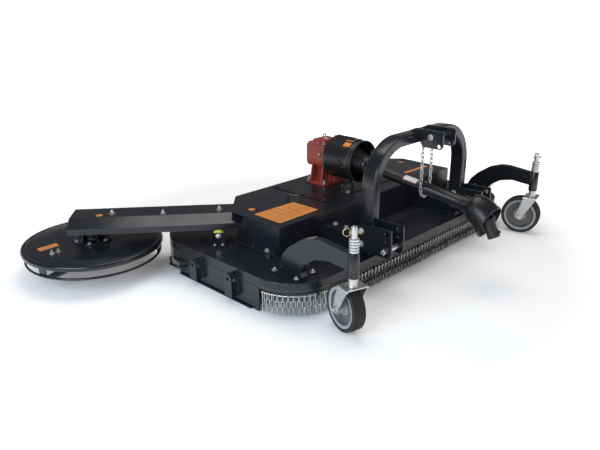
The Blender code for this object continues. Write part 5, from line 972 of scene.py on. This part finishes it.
def add_gearbox():
    """The cast housing on its flange, with webs, bosses, nuts and plugs."""
    y, front, rear, top = GEARBOX_Y, GEARBOX_FRONT, GEARBOX_REAR, GEARBOX_TOP
    half, belly = 0.090, 0.460
    floor = COVER_TOP + 0.005
    flange = floor + 0.012
    web_foot = floor + 0.010
    shape = Shape()
    shape.plate(rounded(oblong(-0.115, 0.115, y - 0.085, y + 0.085), 0.022, 5), "Z", floor, flange)
    shape.turned([(0.076, floor + 0.010), (0.072, floor + 0.014), (0.064, floor + 0.022),
                  (0.0605, floor + 0.034), (0.0605, 0.446), (0.064, 0.456), (0.072, 0.466), (0.074, 0.474)],
                 (0, y, 0), Z, 48)
    body = rounded(oblong(-half, half, belly, top), [0.045, 0.045, 0.006, 0.006], 7)
    shape.plate(body, "Y", front, rear)
    for z, out in ((top - 0.004, 0.002), (0.5215, 0.0012)):
        shape.block(-half - out, half + out, front - out, rear + out, z - 0.006, z + 0.0035)
    shape.turned([(0.060, -0.002), (0.056, 0.004), (0.055, 0.0135), (0.052, 0.0140), (0.030, 0.0140)],
                 (0, front, INPUT_Z), -Y, 40)
    shape.turned([(0.047, -0.002), (0.043, 0.004), (0.042, 0.0095), (0.036, 0.0100), (0.034, 0.0075),
                  (0.010, 0.0075)], (0, rear, INPUT_Z), Y, 40)
    cap_bolts, cap_circle = 4, 0.0365
    for k in range(cap_bolts):
        out = heading(45 + 360 * k / cap_bolts) * cap_circle
        shape.bolt((out.x, rear + 0.0095, INPUT_Z + out.y), Y, 0.0055, 1, False)
    side_web, end_web, web_y = 0.486, 0.478, 0.045
    plug_y, plug_z = y - 0.020, 0.552
    for side in (-1, 1):
        web = [(side * 0.030, web_foot), (side * 0.104, web_foot), (side * 0.082, side_web),
               (side * 0.030, side_web)]
        for middle in (y - web_y, y + web_y):
            shape.plate(web, "Y", middle - 0.005, middle + 0.005)
        web = [(y + side * 0.040, web_foot), (y + side * 0.078, web_foot), (y + side * 0.060, end_web),
               (y + side * 0.040, end_web)]
        shape.plate(web, "X", -0.006, 0.006)
        for end in (-1, 1):
            shape.nut((side * 0.094, y + end * 0.066, flange), Z, 0.0115, 1, 0.012)
        shape.turned([(0.0120, -0.002), (0.0115, 0.004), (0.0085, 0.0045)], (side * half, plug_y, plug_z),
                     X * side, 20)
        shape.turned([(0.0085, 0.0), (0.0080, 0.003), (0.001, 0.0035)],
                     (side * (half + 0.004), plug_y, plug_z), X * side, 16, 2)
    make("gearbox_fine", shape, ["red_paint", "zinc", "yellow_zinc"], "deck", ["gearbox_housing"],
         bevel=0.0024)


def add_gearbox_lid():
    """The domed lid with its filler plug, lifting eye and eight bolts."""
    y, front, rear = GEARBOX_Y, GEARBOX_FRONT, GEARBOX_REAR
    low = GEARBOX_TOP + SPACE
    plate = low + 0.012
    lid = Shape()
    lid.plate(rounded(oblong(-0.088, 0.088, front + 0.002, rear - 0.002), 0.012, 4), "Z", low, plate)
    rings = []
    for inset, z in ((0, low + 0.010), (0.002, low + 0.022), (0.006, low + 0.029), (0.014, 0.637)):
        half, ends = 0.070 - inset, 0.020 + inset
        outline = rounded(oblong(-half, half, front + ends, rear - ends), 0.020, 5)
        rings.append([Vector((a, b, z)) for a, b in outline])
    lid.strips(rings)
    lid.turned([(0.0125, 0.0), (0.0125, 0.002), (0.0100, 0.003), (0.0100, 0.011), (0.0080, 0.013)],
               (-0.030, y - 0.030, 0.6365), Z, 6, 1)
    lid.tube(around(Vector((0, y + 0.020, 0.650)), X, Z, 0.013, 28), 0.0045, 12, True, 1)
    lid.turned([(0.010, 0.0), (0.009, 0.003), (0.006, 0.005)], (0, y + 0.020, 0.636), Z, 20, 1)
    for x in (-0.078, 0, 0.078):
        for at in (front + 0.012, y, rear - 0.012):
            if x or at != y:
                lid.bolt((x, at, plate), Z, 0.0062, 1, False)
    make("gearbox_lid_fine", lid, ["red_paint", "zinc"], "deck", ["gearbox_lid"], bevel=0.0016)


# Deck and drive cover
def deck_corners(out, z, steps=14):
    """The deck's plan at a height, moved outwards by a distance, as one run for each corner."""
    half = DECK_HALF + out
    front, rear = DECK_FRONT - out, DECK_REAR + out
    corners = []
    for x, y, r, start in ((half, rear, REAR_ROUND + out, 0), (-half, rear, REAR_ROUND + out, 90),
                           (-half, front, FRONT_ROUND + out, 180), (half, front, FRONT_ROUND + out, 270)):
        centre = (x - math.copysign(r, x), y - math.copysign(r, y - 0.5))
        corners.append([Vector((px, py, z)) for px, py in arc(centre, r, start, start + 90, steps)])
    return corners


INK_TOP, FIELD_TOP = 0.0003, 0.0005


def tag(shape, corners, z, slots=(0, 1), radius=0.006, border=0.0035):
    """A thin sticker on a level face: its field in one finish and its edge in another."""
    middle = sum((Vector(c) for c in corners), Vector((0, 0))) / len(corners)
    outline = [Vector(p) for p in rounded(corners, radius, 3)]
    shape.plate(outline, "Z", z, z + INK_TOP, slots[1])
    inner = [p - (p - middle).normalized() * border for p in outline]
    shape.plate(inner, "Z", z + INK_TOP, z + FIELD_TOP, slots[0])


def round_tag(shape, x, y, radius, z, border, slots=(0, 1)):
    """A thin round sticker on a level face, in the same two finishes."""
    shape.plate(arc((x, y), radius, 0, 345, 23), "Z", z, z + INK_TOP, slots[1])
    shape.plate(arc((x, y), radius - border, 0, 345, 23), "Z", z + INK_TOP, z + FIELD_TOP, slots[0])


def add_deck_details():
    """The bead round the skirt, weld runs, bolts and rivets of the deck."""
    shape = Shape()
    shape.tube([p for corner in deck_corners(-0.0012, SKIRT_BEND) for p in corner], 0.0028, 8, True)
    # A steel disc on the front face of each lug on the left side, and a weld run along both ends
    lug_x, lug_half = -1.083, 0.030
    disc = [(0.0092, -0.0005), (0.0088, 0.0012), (0.0066, 0.0018), (0.0062, 0.0006), (0.002, 0.0004)]
    for y, top in ((0.39, 0.158), (0.69, 0.145)):
        shape.turned(disc, (lug_x, y - lug_half + 0.001, top - 0.033), -Y, 20, 2)
        for way in (-1, 1):
            x, end = -DECK_HALF - 0.001, y + way * lug_half
            shape.tube([(x, end, 0.032), (x, end, top - 0.030)], 0.003, 8)
    # Rivets along the front skirt
    rivets, pitch = 11, 0.150
    for k in range(rivets):
        shape.turned([(0.0048, -0.0005), (0.0042, 0.0012), (0.0022, 0.0020)],
                     ((k - rivets // 2) * pitch, DECK_FRONT - 0.0002, 0.150), -Y, 14)
    # Bolts and weld runs at the foot of the drive cover, and the zinc nut on its left end
    bolt_z = DECK_TOP + 0.016
    for side in (-1, 1):
        x = side * (COVER_HIGH.x + 0.001)
        shape.tube([(x, COVER_LOW.y + 0.01, DECK_TOP + 0.001), (x, 0.680, DECK_TOP + 0.001)], 0.003, 8)
        for y in (0.34, 0.50, 0.64):
            shape.bolt((side * COVER_HIGH.x, y, bolt_z), X * side, 0.0070)
    for x in (-0.70, -0.14, 0.14, 0.70):
        shape.bolt((x, COVER_LOW.y, bolt_z), -Y, 0.0070)
    shape.bolt((-COVER_HIGH.x, 0.391, 0.198), -X, 0.0125, 1)
    for x in (-0.45, -0.15, 0.15, 0.45):
        shape.bolt((x, COVER_HIGH.y, bolt_z), Y, 0.0070)
    # Spots of weld round the two front corners
    spots = 30
    for k in range(spots):
        turn = heading(-88 + 86 * k / (spots - 1))
        for side in (-1, 1):
            out = Vector((side * turn.x, turn.y, 0))
            at = Vector((side * CORNER_X, DECK_FRONT + FRONT_ROUND, 0.1435)) + out * (FRONT_ROUND + 0.0002)
            shape.turned([(0.0026, -0.0005), (0.0020, 0.0008), (0.0008, 0.0010)], at, out, 8, 2)
    make("deck_fixings", shape, ["weld", "zinc", "steel"], "deck")


def add_corner_bends():
    """The smooth bends between the deck's top and its four round corners."""
    radius, over, count = 0.009, 0.0003, 5
    steps = [(0.0, SKIRT_BEND + 0.002), (0.0, DECK_TOP - radius)]
    for k in range(1, count + 1):
        a = math.radians(90 * k / count)
        steps.append((radius * math.cos(a) - radius, DECK_TOP - radius + (radius + over) * math.sin(a)))
    steps.append((-radius - 0.006, DECK_TOP + over))
    levels = [deck_corners(out, z, 20) for out, z in steps]
    bends = Shape()
    for corner in range(4):
        bends.sheet([level[corner] for level in levels])
    make("deck_corner_bends", bends, ["deck_paint"], "deck", sharp=60)


def add_cover_labels():
    """Bare orange stickers with ruled lines on the drive cover."""
    shape = Shape()
    z = COVER_TOP + 0.0001
    tag(shape, [(-0.763, 0.557), (-0.457, 0.549), (-0.454, 0.349), (-0.765, 0.345)], z)
    tag(shape, [(0.506, 0.454), (0.762, 0.447), (0.760, 0.417), (0.504, 0.424)], z, (0, 1), 0.004, 0.002)
    for x, y, radius in ((-0.714, 0.626, 0.021), (0.726, 0.627, 0.019)):
        round_tag(shape, x, y, radius, z, 0.0025)
    rule, pitch = 0.0016, 0.048
    low, high = z + FIELD_TOP, z + FIELD_TOP + 0.0002
    for k in range(3):
        y = 0.392 + k * pitch
        shape.block(-0.752, -0.466, y, y + rule, low, high, 1)
    for k in range(5):
        x = -0.705 + k * pitch
        shape.block(x, x + rule, 0.362, 0.536, low, high, 1)
    make("cover_labels", shape, ["orange_label", "label_ink"], "deck")


def handle_route(a, b, radius, height):
    """Up from one foot, over and down to the other, with round bends."""
    along = (b - a).normalized()
    route = [a]
    for foot, way, start in ((a, 1, 180), (b, -1, 90)):
        route += [foot + along * (way * radius + across) + Z * (height - radius + up)
                  for across, up in arc((0, 0), radius, start, start - 90, 6)]
    return route + [b]


def add_cover_fixings():
    """Bolts of the cover and its centre plate, and the two lifting handles with their welds."""
    fix = Shape()
    low = COVER_TOP + 0.0043
    for x in (-0.316, -0.105, 0.105, 0.316):
        fix.bolt((x, 0.428, low), Z, 0.0098, 0 if abs(x) < 0.2 else 1)
    for x in (-0.316, 0.316):
        for y in (0.60, 0.830):
            fix.bolt((x, y, low), Z, 0.0085, 1)
    for x, y in ((0.79, 0.66), (0.60, 0.85)):
        fix.bolt((x, y, COVER_TOP), Z, 0.0080, 1)
    for first, second, foot in (((-0.479, 0.573), (-0.442, 0.506), COVER_TOP + SPACE),
                                ((-0.114, 0.469), (-0.022, 0.462), COVER_TOP + 0.0048)):
        a, b = Vector((*first, foot)), Vector((*second, foot))
        fix.tube(handle_route(a, b, 0.016, 0.045), 0.0072, 14, slot=2)
        for p in (a, b):
            fix.turned([(0.0115, 0.0), (0.0105, 0.002), (0.0075, 0.0045)], p, Z, 18, 1)
    make("cover_fixings", fix, ["zinc", "weld", "paint"], "deck",
         ["left_lifting_handle", "centre_lifting_handle"])


# Swing arm and side disc
def arm_place():
    return Matrix.Translation(ARM_PIVOT) @ rotated(ARM_ANGLE)


def disc_centre():
    return arm_place() @ Vector((DISC_REACH, 0, 0))


def add_arm_details():
    """Nuts, long holes drawn as black pads in their rims as painted shade, a round sticker and the end weld
    of the swing arm.
    """
    shape = Shape()
    shape.place = arm_place()
    for x, y in ((0.353, 0.020), (0.669, 0.050), (0.955, 0.020)):
        shape.nut((x, y, ARM_TOP), Z, 0.0125, 0, 0.012)
    # Each long hole is a flat black pad inside its rim, not a cut: painted shade inside the hole.
    for x, y in ((1.115, 0.017), (1.061, 0.023)):
        shape.plate(oval(x, y, 0.011, 0.0110), "Z", ARM_TOP - 0.001, ARM_TOP + 0.0005, 1)
        shape.plate(oval(x, y, 0.011, 0.0095), "Z", ARM_TOP - 0.001, ARM_TOP + 0.0008, 2)
    round_tag(shape, 1.022, 0.044, 0.0205, ARM_TOP + 0.0001, 0.0015, (3, 4))
    end_x, end_y, end_z = 1.1805, 0.150, 0.268
    shape.tube([(end_x, -end_y, end_z), (end_x, end_y, end_z)], 0.0024, 8, slot=1)
    make("arm_details", shape, ["zinc", "weld", "black_plastic", "orange_label", "label_ink"], "swing_arm")


def add_disc():
    """The pressed side disc with its rolled rim, a sticker and two nuts."""
    r, top, step, bore = 0.393, DISC_TOP, 0.235, 0.0705
    rim = [(0.0340, 0), (0.0300, 0.0008), (0.0265, 0.0030), (0.0235, 0.0032), (0.0200, 0.0012),
           (0.0140, 0.0002), (0.0080, 0.0022), (0.0030, 0.0070), (0.0006, 0.0125), (0, 0.0180),
           (0.0008, 0.0240), (0.0030, 0.0285), (0.0055, 0.0300), (0.0080, 0.0285), (0.0075, 0.0180),
           (0.0110, 0.0100), (0.0180, 0.0065), (0.0300, 0.0075), (0.0360, 0.0050)]
    profile = [(bore, top), (0.110, top), (step, top)]
    profile += [(r - inward, top - down) for inward, down in rim]
    profile += [(step, top - 0.005), (bore, top - 0.005)]
    disc = Shape()
    disc.turned(profile, disc_centre(), Z, 128, 0, True)
    disc.place = arm_place()
    tag(disc, [(1.366, 0.114), (1.281, 0.037), (1.252, 0.079), (1.336, 0.157)], top + 0.0001, (1, 2), 0.002,
        0.0012)
    for x, y in ((1.262, 0.196), (1.234, 0.170)):
        disc.nut((x, y, top), Z, 0.0105, 3, 0.012)
    make("side_disc_fine", disc, ["paint", "orange_label", "label_ink", "zinc"], "swing_arm", ["side_disc"],
         sharp=45)


def add_disc_hub():
    """The hub's turned housing with six ribs and six bolts."""
    centre = disc_centre()
    top, low, high, bore, flange = DISC_TOP, DISC_TOP + SPACE, 0.2646, 0.0172, 0.008
    hub = Shape()
    hub.turned([(bore, top - 0.040), (0.048, top - 0.040), (0.050, top - 0.038), (0.0690, top - 0.030),
                (0.0690, low), (0.1040, low), (0.1050, low + 0.0012), (0.1050, low + 0.0068),
                (0.1038, low + flange), (0.070, low + 0.0088), (0.060, low + 0.0110), (0.0535, low + 0.0165),
                (0.0520, low + 0.024), (0.0520, high - 0.020), (0.0550, high - 0.014),
                (0.0680, high - 0.0095), (0.0800, high - 0.0080), (0.0800, high), (bore, high)],
               centre, Z, 56, 0, True)
    side = ((0.050, low + 0.006), (0.092, low + 0.006), (0.070, high - 0.007), (0.050, high - 0.007))
    # Six bolts, and six ribs halfway between them
    for i in range(6):
        out = heading(ARM_ANGLE + 30 + 60 * i)
        hub.bolt(centre + out * 0.091 + Z * (low + flange), Z, 0.0098, 1)
        out = heading(ARM_ANGLE + 60 + 60 * i)
        across = Z.cross(out) * 0.004
        rib = [centre + out * run + Z * rise for run, rise in side]
        hub.strips([[p - across for p in rib], [p + across for p in rib]])
    make("disc_hub_fine", hub, ["paint", "zinc"], "swing_arm", ["disc_hub_housing"], bevel=0.0008)


def add_disc_guard():
    """The guard rod round the disc, on three straps."""
    radius, z = 0.374, 0.102
    strap = rounded(oblong(-0.026, 0.026, z - 0.004, DISC_TOP - 0.0054), [0.003, 0.003, 0, 0], 2)
    centre = disc_centre()
    guard = Shape()
    guard.tube(around(centre + Z * z, X, Y, radius, 96), 0.0070, 12, True)
    for i in range(3):
        guard.place = Matrix.Translation(centre) @ rotated(ARM_ANGLE + 176 + 120 * i)
        guard.plate(strap, "X", radius - 0.010, radius - 0.004)
    make("disc_guard_fine", guard, ["paint"], "swing_arm", ["disc_guard_rod"])


def add_roller():
    """The yellow roller under the arm with two grooves, and its folded bracket."""
    x, y, r, half, arm_low = 0.360, 0.150, 0.028, 0.023, 0.265
    axis_z = arm_low - 0.0003 - r
    side = [(0.0071, half), (r - 0.006, half), (r - 0.0025, half - 0.001), (r, half - 0.004), (r, 0.008),
            (r - 0.001, 0.0072), (r - 0.001, 0.0056), (r, 0.0048)]
    roller = Shape()
    roller.place = arm_place()
    roller.turned([(a, -t) for a, t in side] + side[::-1], (x, y, axis_z), Y, 48, 0, True)
    make("arm_roller_fine", roller, ["roller_yellow"], "roller", ["arm_roller"])
    low, front, edge, out, lip = DECK_TOP + SPACE, half + 0.003, 0.041, 0.062, 0.008
    inner = edge - SHEET
    back = y - front - SHEET
    bracket = Shape()
    bracket.place = arm_place()
    base = oblong(x - edge - lip, x + edge + lip, back, y + out + lip)
    bracket.plate(rounded(base, 0.006, 3), "Z", low, low + SHEET)
    channel = [(x - edge, y + out), (x - edge, y + front), (x + edge, y + front), (x + edge, y + out),
               (x + inner, y + out), (x + inner, y + front + SHEET), (x - inner, y + front + SHEET),
               (x - inner, y + out)]
    foot = low + SHEET / 2
    bracket.plate(rounded(channel, [0, 0.009, 0.009, 0, 0, 0.004, 0.004, 0], 4), "Z", foot, axis_z + 0.018)
    plate = [(x - 0.022, foot), (x + 0.022, foot)] + arc((x, axis_z), 0.014, 10, 170, 10)
    bracket.plate(plate, "Y", back, back + SHEET)
    bracket.rod((x, back - 0.004, axis_z), (x, y + front + SHEET, axis_z), 0.006, 20, 1)
    bracket.nut((x, y + front + SHEET, axis_z), Y, 0.0105, 1, 0.004)
    for way in (-1, 1):
        bracket.bolt((x + way * 0.022, y + 0.050, low + SHEET), Z, 0.0068, 1)
    make("roller_bracket_fine", bracket, ["paint", "zinc"], "deck", ["roller_bracket"], bevel=0.0006)


# Floor, light and camera
def floor_finish(glow):
    """A pale matt floor that glows a little outside the deck's outline, and is white far away; the glow is
    left off under and close round the deck, which paints shade on the floor there.
    """
    graph = Finish("floor")
    for name, value in (("Base Color", (0.86, 0.86, 0.86, 1)), ("Roughness", 0.9),
                        ("Specular IOR Level", 0.1)):
        graph.shader.inputs[name].default_value = value
    reach = graph.sums("ShaderNodeVectorMath", "LENGTH", graph.space)["Value"]
    far = graph.span(reach, 0.0, 0.85, 1.5, 3.2)
    rays = graph.node("ShaderNodeLightPath").outputs
    seen = graph.sums("ShaderNodeMath", "MAXIMUM", rays["Is Camera Ray"], rays["Is Glossy Ray"])[0]
    seen = graph.sums("ShaderNodeMath", "MAXIMUM", seen, rays["Is Transmission Ray"])[0]
    # No glow under the deck and up to 0.10 m outside it, rising to full glow at 0.45 m: painted shade under
    # the machine.
    deck_middle, deck_reach = SHIFT + Vector((0, 0.53, 0)), (0.86, 0.40, 0)
    outside = graph.sums("ShaderNodeVectorMath", "SUBTRACT", graph.space, deck_middle)[0]
    outside = graph.sums("ShaderNodeVectorMath", "ABSOLUTE", outside)[0]
    outside = graph.sums("ShaderNodeVectorMath", "SUBTRACT", outside, deck_reach)[0]
    outside = graph.sums("ShaderNodeVectorMath", "MAXIMUM", outside)[0]
    gap = graph.sums("ShaderNodeVectorMath", "LENGTH", outside)["Value"]
    near = graph.span(gap, 0.0, glow, 0.10, 0.45)
    lit = graph.node("ShaderNodeEmission")
    lit.inputs["Color"].default_value = (1, 1, 1, 1)
    graph.link(graph.sums("ShaderNodeMath", "MULTIPLY_ADD", seen, far, near)[0], lit.inputs["Strength"])
    both = graph.node("ShaderNodeAddShader")
    graph.link(graph.shader.outputs["BSDF"], both.inputs[0])
    graph.link(lit.outputs["Emission"], both.inputs[1])
    out = next(node for node in graph.tree.nodes if node.type == "OUTPUT_MATERIAL")
    graph.link(both.outputs["Shader"], out.inputs["Surface"])
    return graph.material


def white_surround(scene, settings):
    """White for the camera and low in reflections, dark above in reflections, and dim as a light."""
    world = bpy.data.worlds.new("surround")
    scene.world = world
    world.use_nodes = True
    graph = Graph(world.node_tree)
    background = graph.tree.nodes["Background"]
    background.inputs["Color"].default_value = (1, 1, 1, 1)
    rays = graph.node("ShaderNodeLightPath").outputs
    mirrored = graph.sums("ShaderNodeMath", "MAXIMUM", rays["Is Glossy Ray"], rays["Is Transmission Ray"])[0]
    parts = graph.node("ShaderNodeSeparateXYZ")
    graph.link(graph.node("ShaderNodeTexCoord").outputs["Generated"], parts.inputs[0])
    level = graph.node("ShaderNodeMix")
    level.inputs["A"].default_value = settings.surround
    graph.link(mirrored, level.inputs["Factor"])
    graph.link(graph.span(parts.outputs["Z"], 1.0, settings.gloss_surround, 0.06, 0.20), level.inputs["B"])
    seen = graph.sums("ShaderNodeMath", "MAXIMUM", rays["Is Camera Ray"], level.outputs["Result"])[0]
    graph.link(seen, background.inputs["Strength"])


def lamp(scene, name, place, target, size, power, colour):
    """A soft rectangular lamp that faces a target."""
    data = bpy.data.lights.new(name, "AREA")
    data.shape = "RECTANGLE"
    data.size, data.size_y = size
    data.energy = power
    data.color = colour
    light = bpy.data.objects.new(name, data)
    light.location = Vector(place) + SHIFT
    light.rotation_euler = (Vector(target) - Vector(place)).to_track_quat("-Z", "Y").to_euler()
    scene.collection.objects.link(light)


def add_camera(scene):
    """The photograph's own view: its turn about Z, its downward tilt and its slight roll."""
    turn, fall, roll = math.radians(-45.71), math.radians(20.54), math.radians(-0.318)
    data = bpy.data.cameras.new("view")
    data.sensor_width = 36
    data.lens = 37.174
    camera = bpy.data.objects.new("view", data)
    scene.collection.objects.link(camera)
    look = Vector((math.cos(fall) * -math.sin(turn), math.cos(fall) * math.cos(turn), -math.sin(fall)))
    right = Vector((math.cos(turn), math.sin(turn), 0))
    up = right.cross(look)
    right, up = right * math.cos(roll) + up * math.sin(roll), up * math.cos(roll) - right * math.sin(roll)
    place = Matrix((right, up, -look)).transposed().to_4x4()
    place.translation = Vector((-2.902, -1.889, 1.503)) + SHIFT
    camera.matrix_world = place
    scene.camera = camera


def add_stage(settings):
    """The floor, the surround, three large soft lamps and the camera."""
    scene = bpy.context.scene
    half, step, low = 12, 2, -0.001
    places = range(-half, half + 1, step)
    floor = Shape()
    floor.sheet([[(x, y, low) for x in places] for y in places])
    mesh = bpy.data.meshes.new("floor")
    mesh.from_pydata([p + SHIFT for p in floor.points], [], floor.faces)
    mesh.materials.append(floor_finish(settings.floor_glow))
    obj = bpy.data.objects.new("floor", mesh)
    scene.collection.objects.link(obj)
    white_surround(scene, settings)
    power = settings.key_power
    lamp(scene, "left_light", (-4.4, -0.2, 2.4), (-0.4, 0.5, 0.2), (3.0, 1.8), power * 0.80,
         (0.72, 0.85, 1.0))
    lamp(scene, "front_light", (0.6, -4.6, 3.2), (0.1, 0.0, 0.3), (3.4, 1.4), power * 0.26,
         (1.0, 0.98, 0.95))
    lamp(scene, "top_light", (0.2, 1.0, 4.4), (0.0, 0.5, 0.2), (3.6, 2.4), power * 0.55,
         (1.0, 0.97, 0.93))
    add_camera(scene)
    scene.view_settings.view_transform = "Standard"


# Settings, operators and panel
class MulcherSettings(bpy.types.PropertyGroup):
    paint: bpy.props.FloatVectorProperty(
        name="Paint", description="Colour of the painted steel", subtype="COLOR", size=3,
        min=0.0, max=1.0, default=(0.0095, 0.0112, 0.0148))
    red: bpy.props.FloatVectorProperty(
        name="Gearbox red", description="Colour of the gearbox castings", subtype="COLOR", size=3,
        min=0.0, max=1.0, default=(0.36, 0.045, 0.030))
    edge: bpy.props.FloatProperty(
        name="Edge rounding", description="How far the edges of the folded sheets are rounded",
        unit="LENGTH", min=0.0, max=0.01, default=0.0022)


class ChainSettings(bpy.types.PropertyGroup):
    chain_step: bpy.props.FloatProperty(
        name="Chain spacing", description="Distance between the chains of the curtain", unit="LENGTH",
        min=0.02, max=0.1, default=0.0295)


class StageSettings(bpy.types.PropertyGroup):
    key_power: bpy.props.FloatProperty(
        name="Light", description="Power of the strongest lamp", unit="POWER", min=0.0, default=150.0)
    surround: bpy.props.FloatProperty(
        name="Surround", description="How strongly the surround lights the machine", min=0.0, default=0.40)
    gloss_surround: bpy.props.FloatProperty(
        name="Surround in reflections", description="How bright the surround is in glossy reflections",
        min=0.0, default=0.10)
    floor_glow: bpy.props.FloatProperty(
        name="Floor glow", description="Light that the floor gives off, which keeps it pale",
        min=0.0, default=0.16)


class MULCHER_OT_finishes(bpy.types.Operator):
    """Makes the finishes and puts them on the solids that stay in view"""
    bl_idname = "mulcher.finishes"
    bl_label = "Finishes"

    def execute(self, context):
        settings = context.scene.mulcher
        make_finishes(settings)
        dress_nodes(settings.edge)
        return {"FINISHED"}


class MULCHER_OT_curtains(bpy.types.Operator):
    """Hangs the chains on the rods along the front and round both corners"""
    bl_idname = "mulcher.curtains"
    bl_label = "Chain curtains"

    def execute(self, context):
        add_curtains(context.scene.mulcher_chain)
        return {"FINISHED"}


class MULCHER_OT_sling(bpy.types.Operator):
    """Makes the chain that holds the shaft guard in the arch"""
    bl_idname = "mulcher.sling"
    bl_label = "Sling chain"

    def execute(self, context):
        add_sling()
        return {"FINISHED"}


class MULCHER_OT_casters(bpy.types.Operator):
    """Makes the caster arms, forks, ribbed tyres and rims"""
    bl_idname = "mulcher.casters"
    bl_label = "Casters"

    def execute(self, context):
        add_caster_arms()
        add_forks()
        add_wheels()
        return {"FINISHED"}


class MULCHER_OT_headstock(bpy.types.Operator):
    """Makes the bent arch, hitch bolts, link pins and clips"""
    bl_idname = "mulcher.headstock"
    bl_label = "Headstock"

    def execute(self, context):
        add_arch()
        add_hitch()
        return {"FINISHED"}


class MULCHER_OT_shaft(bpy.types.Operator):
    """Makes the guards of the drive shaft and the master shield with its flap"""
    bl_idname = "mulcher.shaft"
    bl_label = "Shaft guards"

    def execute(self, context):
        add_rear_guard()
        add_front_guard()
        add_guard_label()
        add_shield()
        add_shield_flap()
        return {"FINISHED"}


class MULCHER_OT_gearbox(bpy.types.Operator):
    """Makes the cast gearbox and its lid"""
    bl_idname = "mulcher.gearbox"
    bl_label = "Gearbox"

    def execute(self, context):
        add_gearbox()
        add_gearbox_lid()
        return {"FINISHED"}


class MULCHER_OT_deck(bpy.types.Operator):
    """Adds the beads, bolts, handles and plain labels of the deck and its cover"""
    bl_idname = "mulcher.deck"
    bl_label = "Deck details"

    def execute(self, context):
        add_deck_details()
        add_corner_bends()
        add_cover_labels()
        add_cover_fixings()
        return {"FINISHED"}


class MULCHER_OT_side_disc(bpy.types.Operator):
    """Makes the side disc, its hub, guard rod and roller, and the arm's fixings"""
    bl_idname = "mulcher.side_disc"
    bl_label = "Side disc"

    def execute(self, context):
        add_arm_details()
        add_disc()
        add_disc_hub()
        add_disc_guard()
        add_roller()
        return {"FINISHED"}


class MULCHER_OT_stage(bpy.types.Operator):
    """Adds the floor, the surround, the lamps and the camera"""
    bl_idname = "mulcher.stage"
    bl_label = "Stage"

    def execute(self, context):
        add_stage(context.scene.mulcher_stage)
        return {"FINISHED"}


OPERATORS = (MULCHER_OT_finishes, MULCHER_OT_curtains, MULCHER_OT_sling, MULCHER_OT_casters,
             MULCHER_OT_headstock, MULCHER_OT_shaft, MULCHER_OT_gearbox, MULCHER_OT_deck,
             MULCHER_OT_side_disc, MULCHER_OT_stage)


class MULCHER_PT_panel(bpy.types.Panel):
    """Lists the settings and the steps of the mulcher"""
    bl_idname = "MULCHER_PT_panel"
    bl_label = "Rotary mulcher"
    bl_space_type = "VIEW_3D"
    bl_region_type = "UI"
    bl_category = "Mulcher"

    def draw(self, context):
        scene = context.scene
        for group, names in ((scene.mulcher, ("paint", "red", "edge")),
                             (scene.mulcher_chain, ("chain_step",)),
                             (scene.mulcher_stage,
                              ("key_power", "surround", "gloss_surround", "floor_glow"))):
            for name in names:
                self.layout.prop(group, name)
        for operator in OPERATORS:
            self.layout.operator(operator.bl_idname)


CLASSES = (MulcherSettings, ChainSettings, StageSettings, *OPERATORS, MULCHER_PT_panel)


def register():
    for item in CLASSES:
        bpy.utils.register_class(item)
    bpy.types.Scene.mulcher = bpy.props.PointerProperty(type=MulcherSettings)
    bpy.types.Scene.mulcher_chain = bpy.props.PointerProperty(type=ChainSettings)
    bpy.types.Scene.mulcher_stage = bpy.props.PointerProperty(type=StageSettings)


def unregister():
    for name in ("mulcher", "mulcher_chain", "mulcher_stage"):
        delattr(bpy.types.Scene, name)
    for item in reversed(CLASSES):
        bpy.utils.unregister_class(item)


def main():
    register()
    bpy.ops.mulcher.finishes()
    bpy.ops.mulcher.curtains()
    bpy.ops.mulcher.sling()
    bpy.ops.mulcher.casters()
    bpy.ops.mulcher.headstock()
    bpy.ops.mulcher.shaft()
    bpy.ops.mulcher.gearbox()
    bpy.ops.mulcher.deck()
    bpy.ops.mulcher.side_disc()
    bpy.ops.mulcher.stage()


if __name__ == "__main__":
    main()
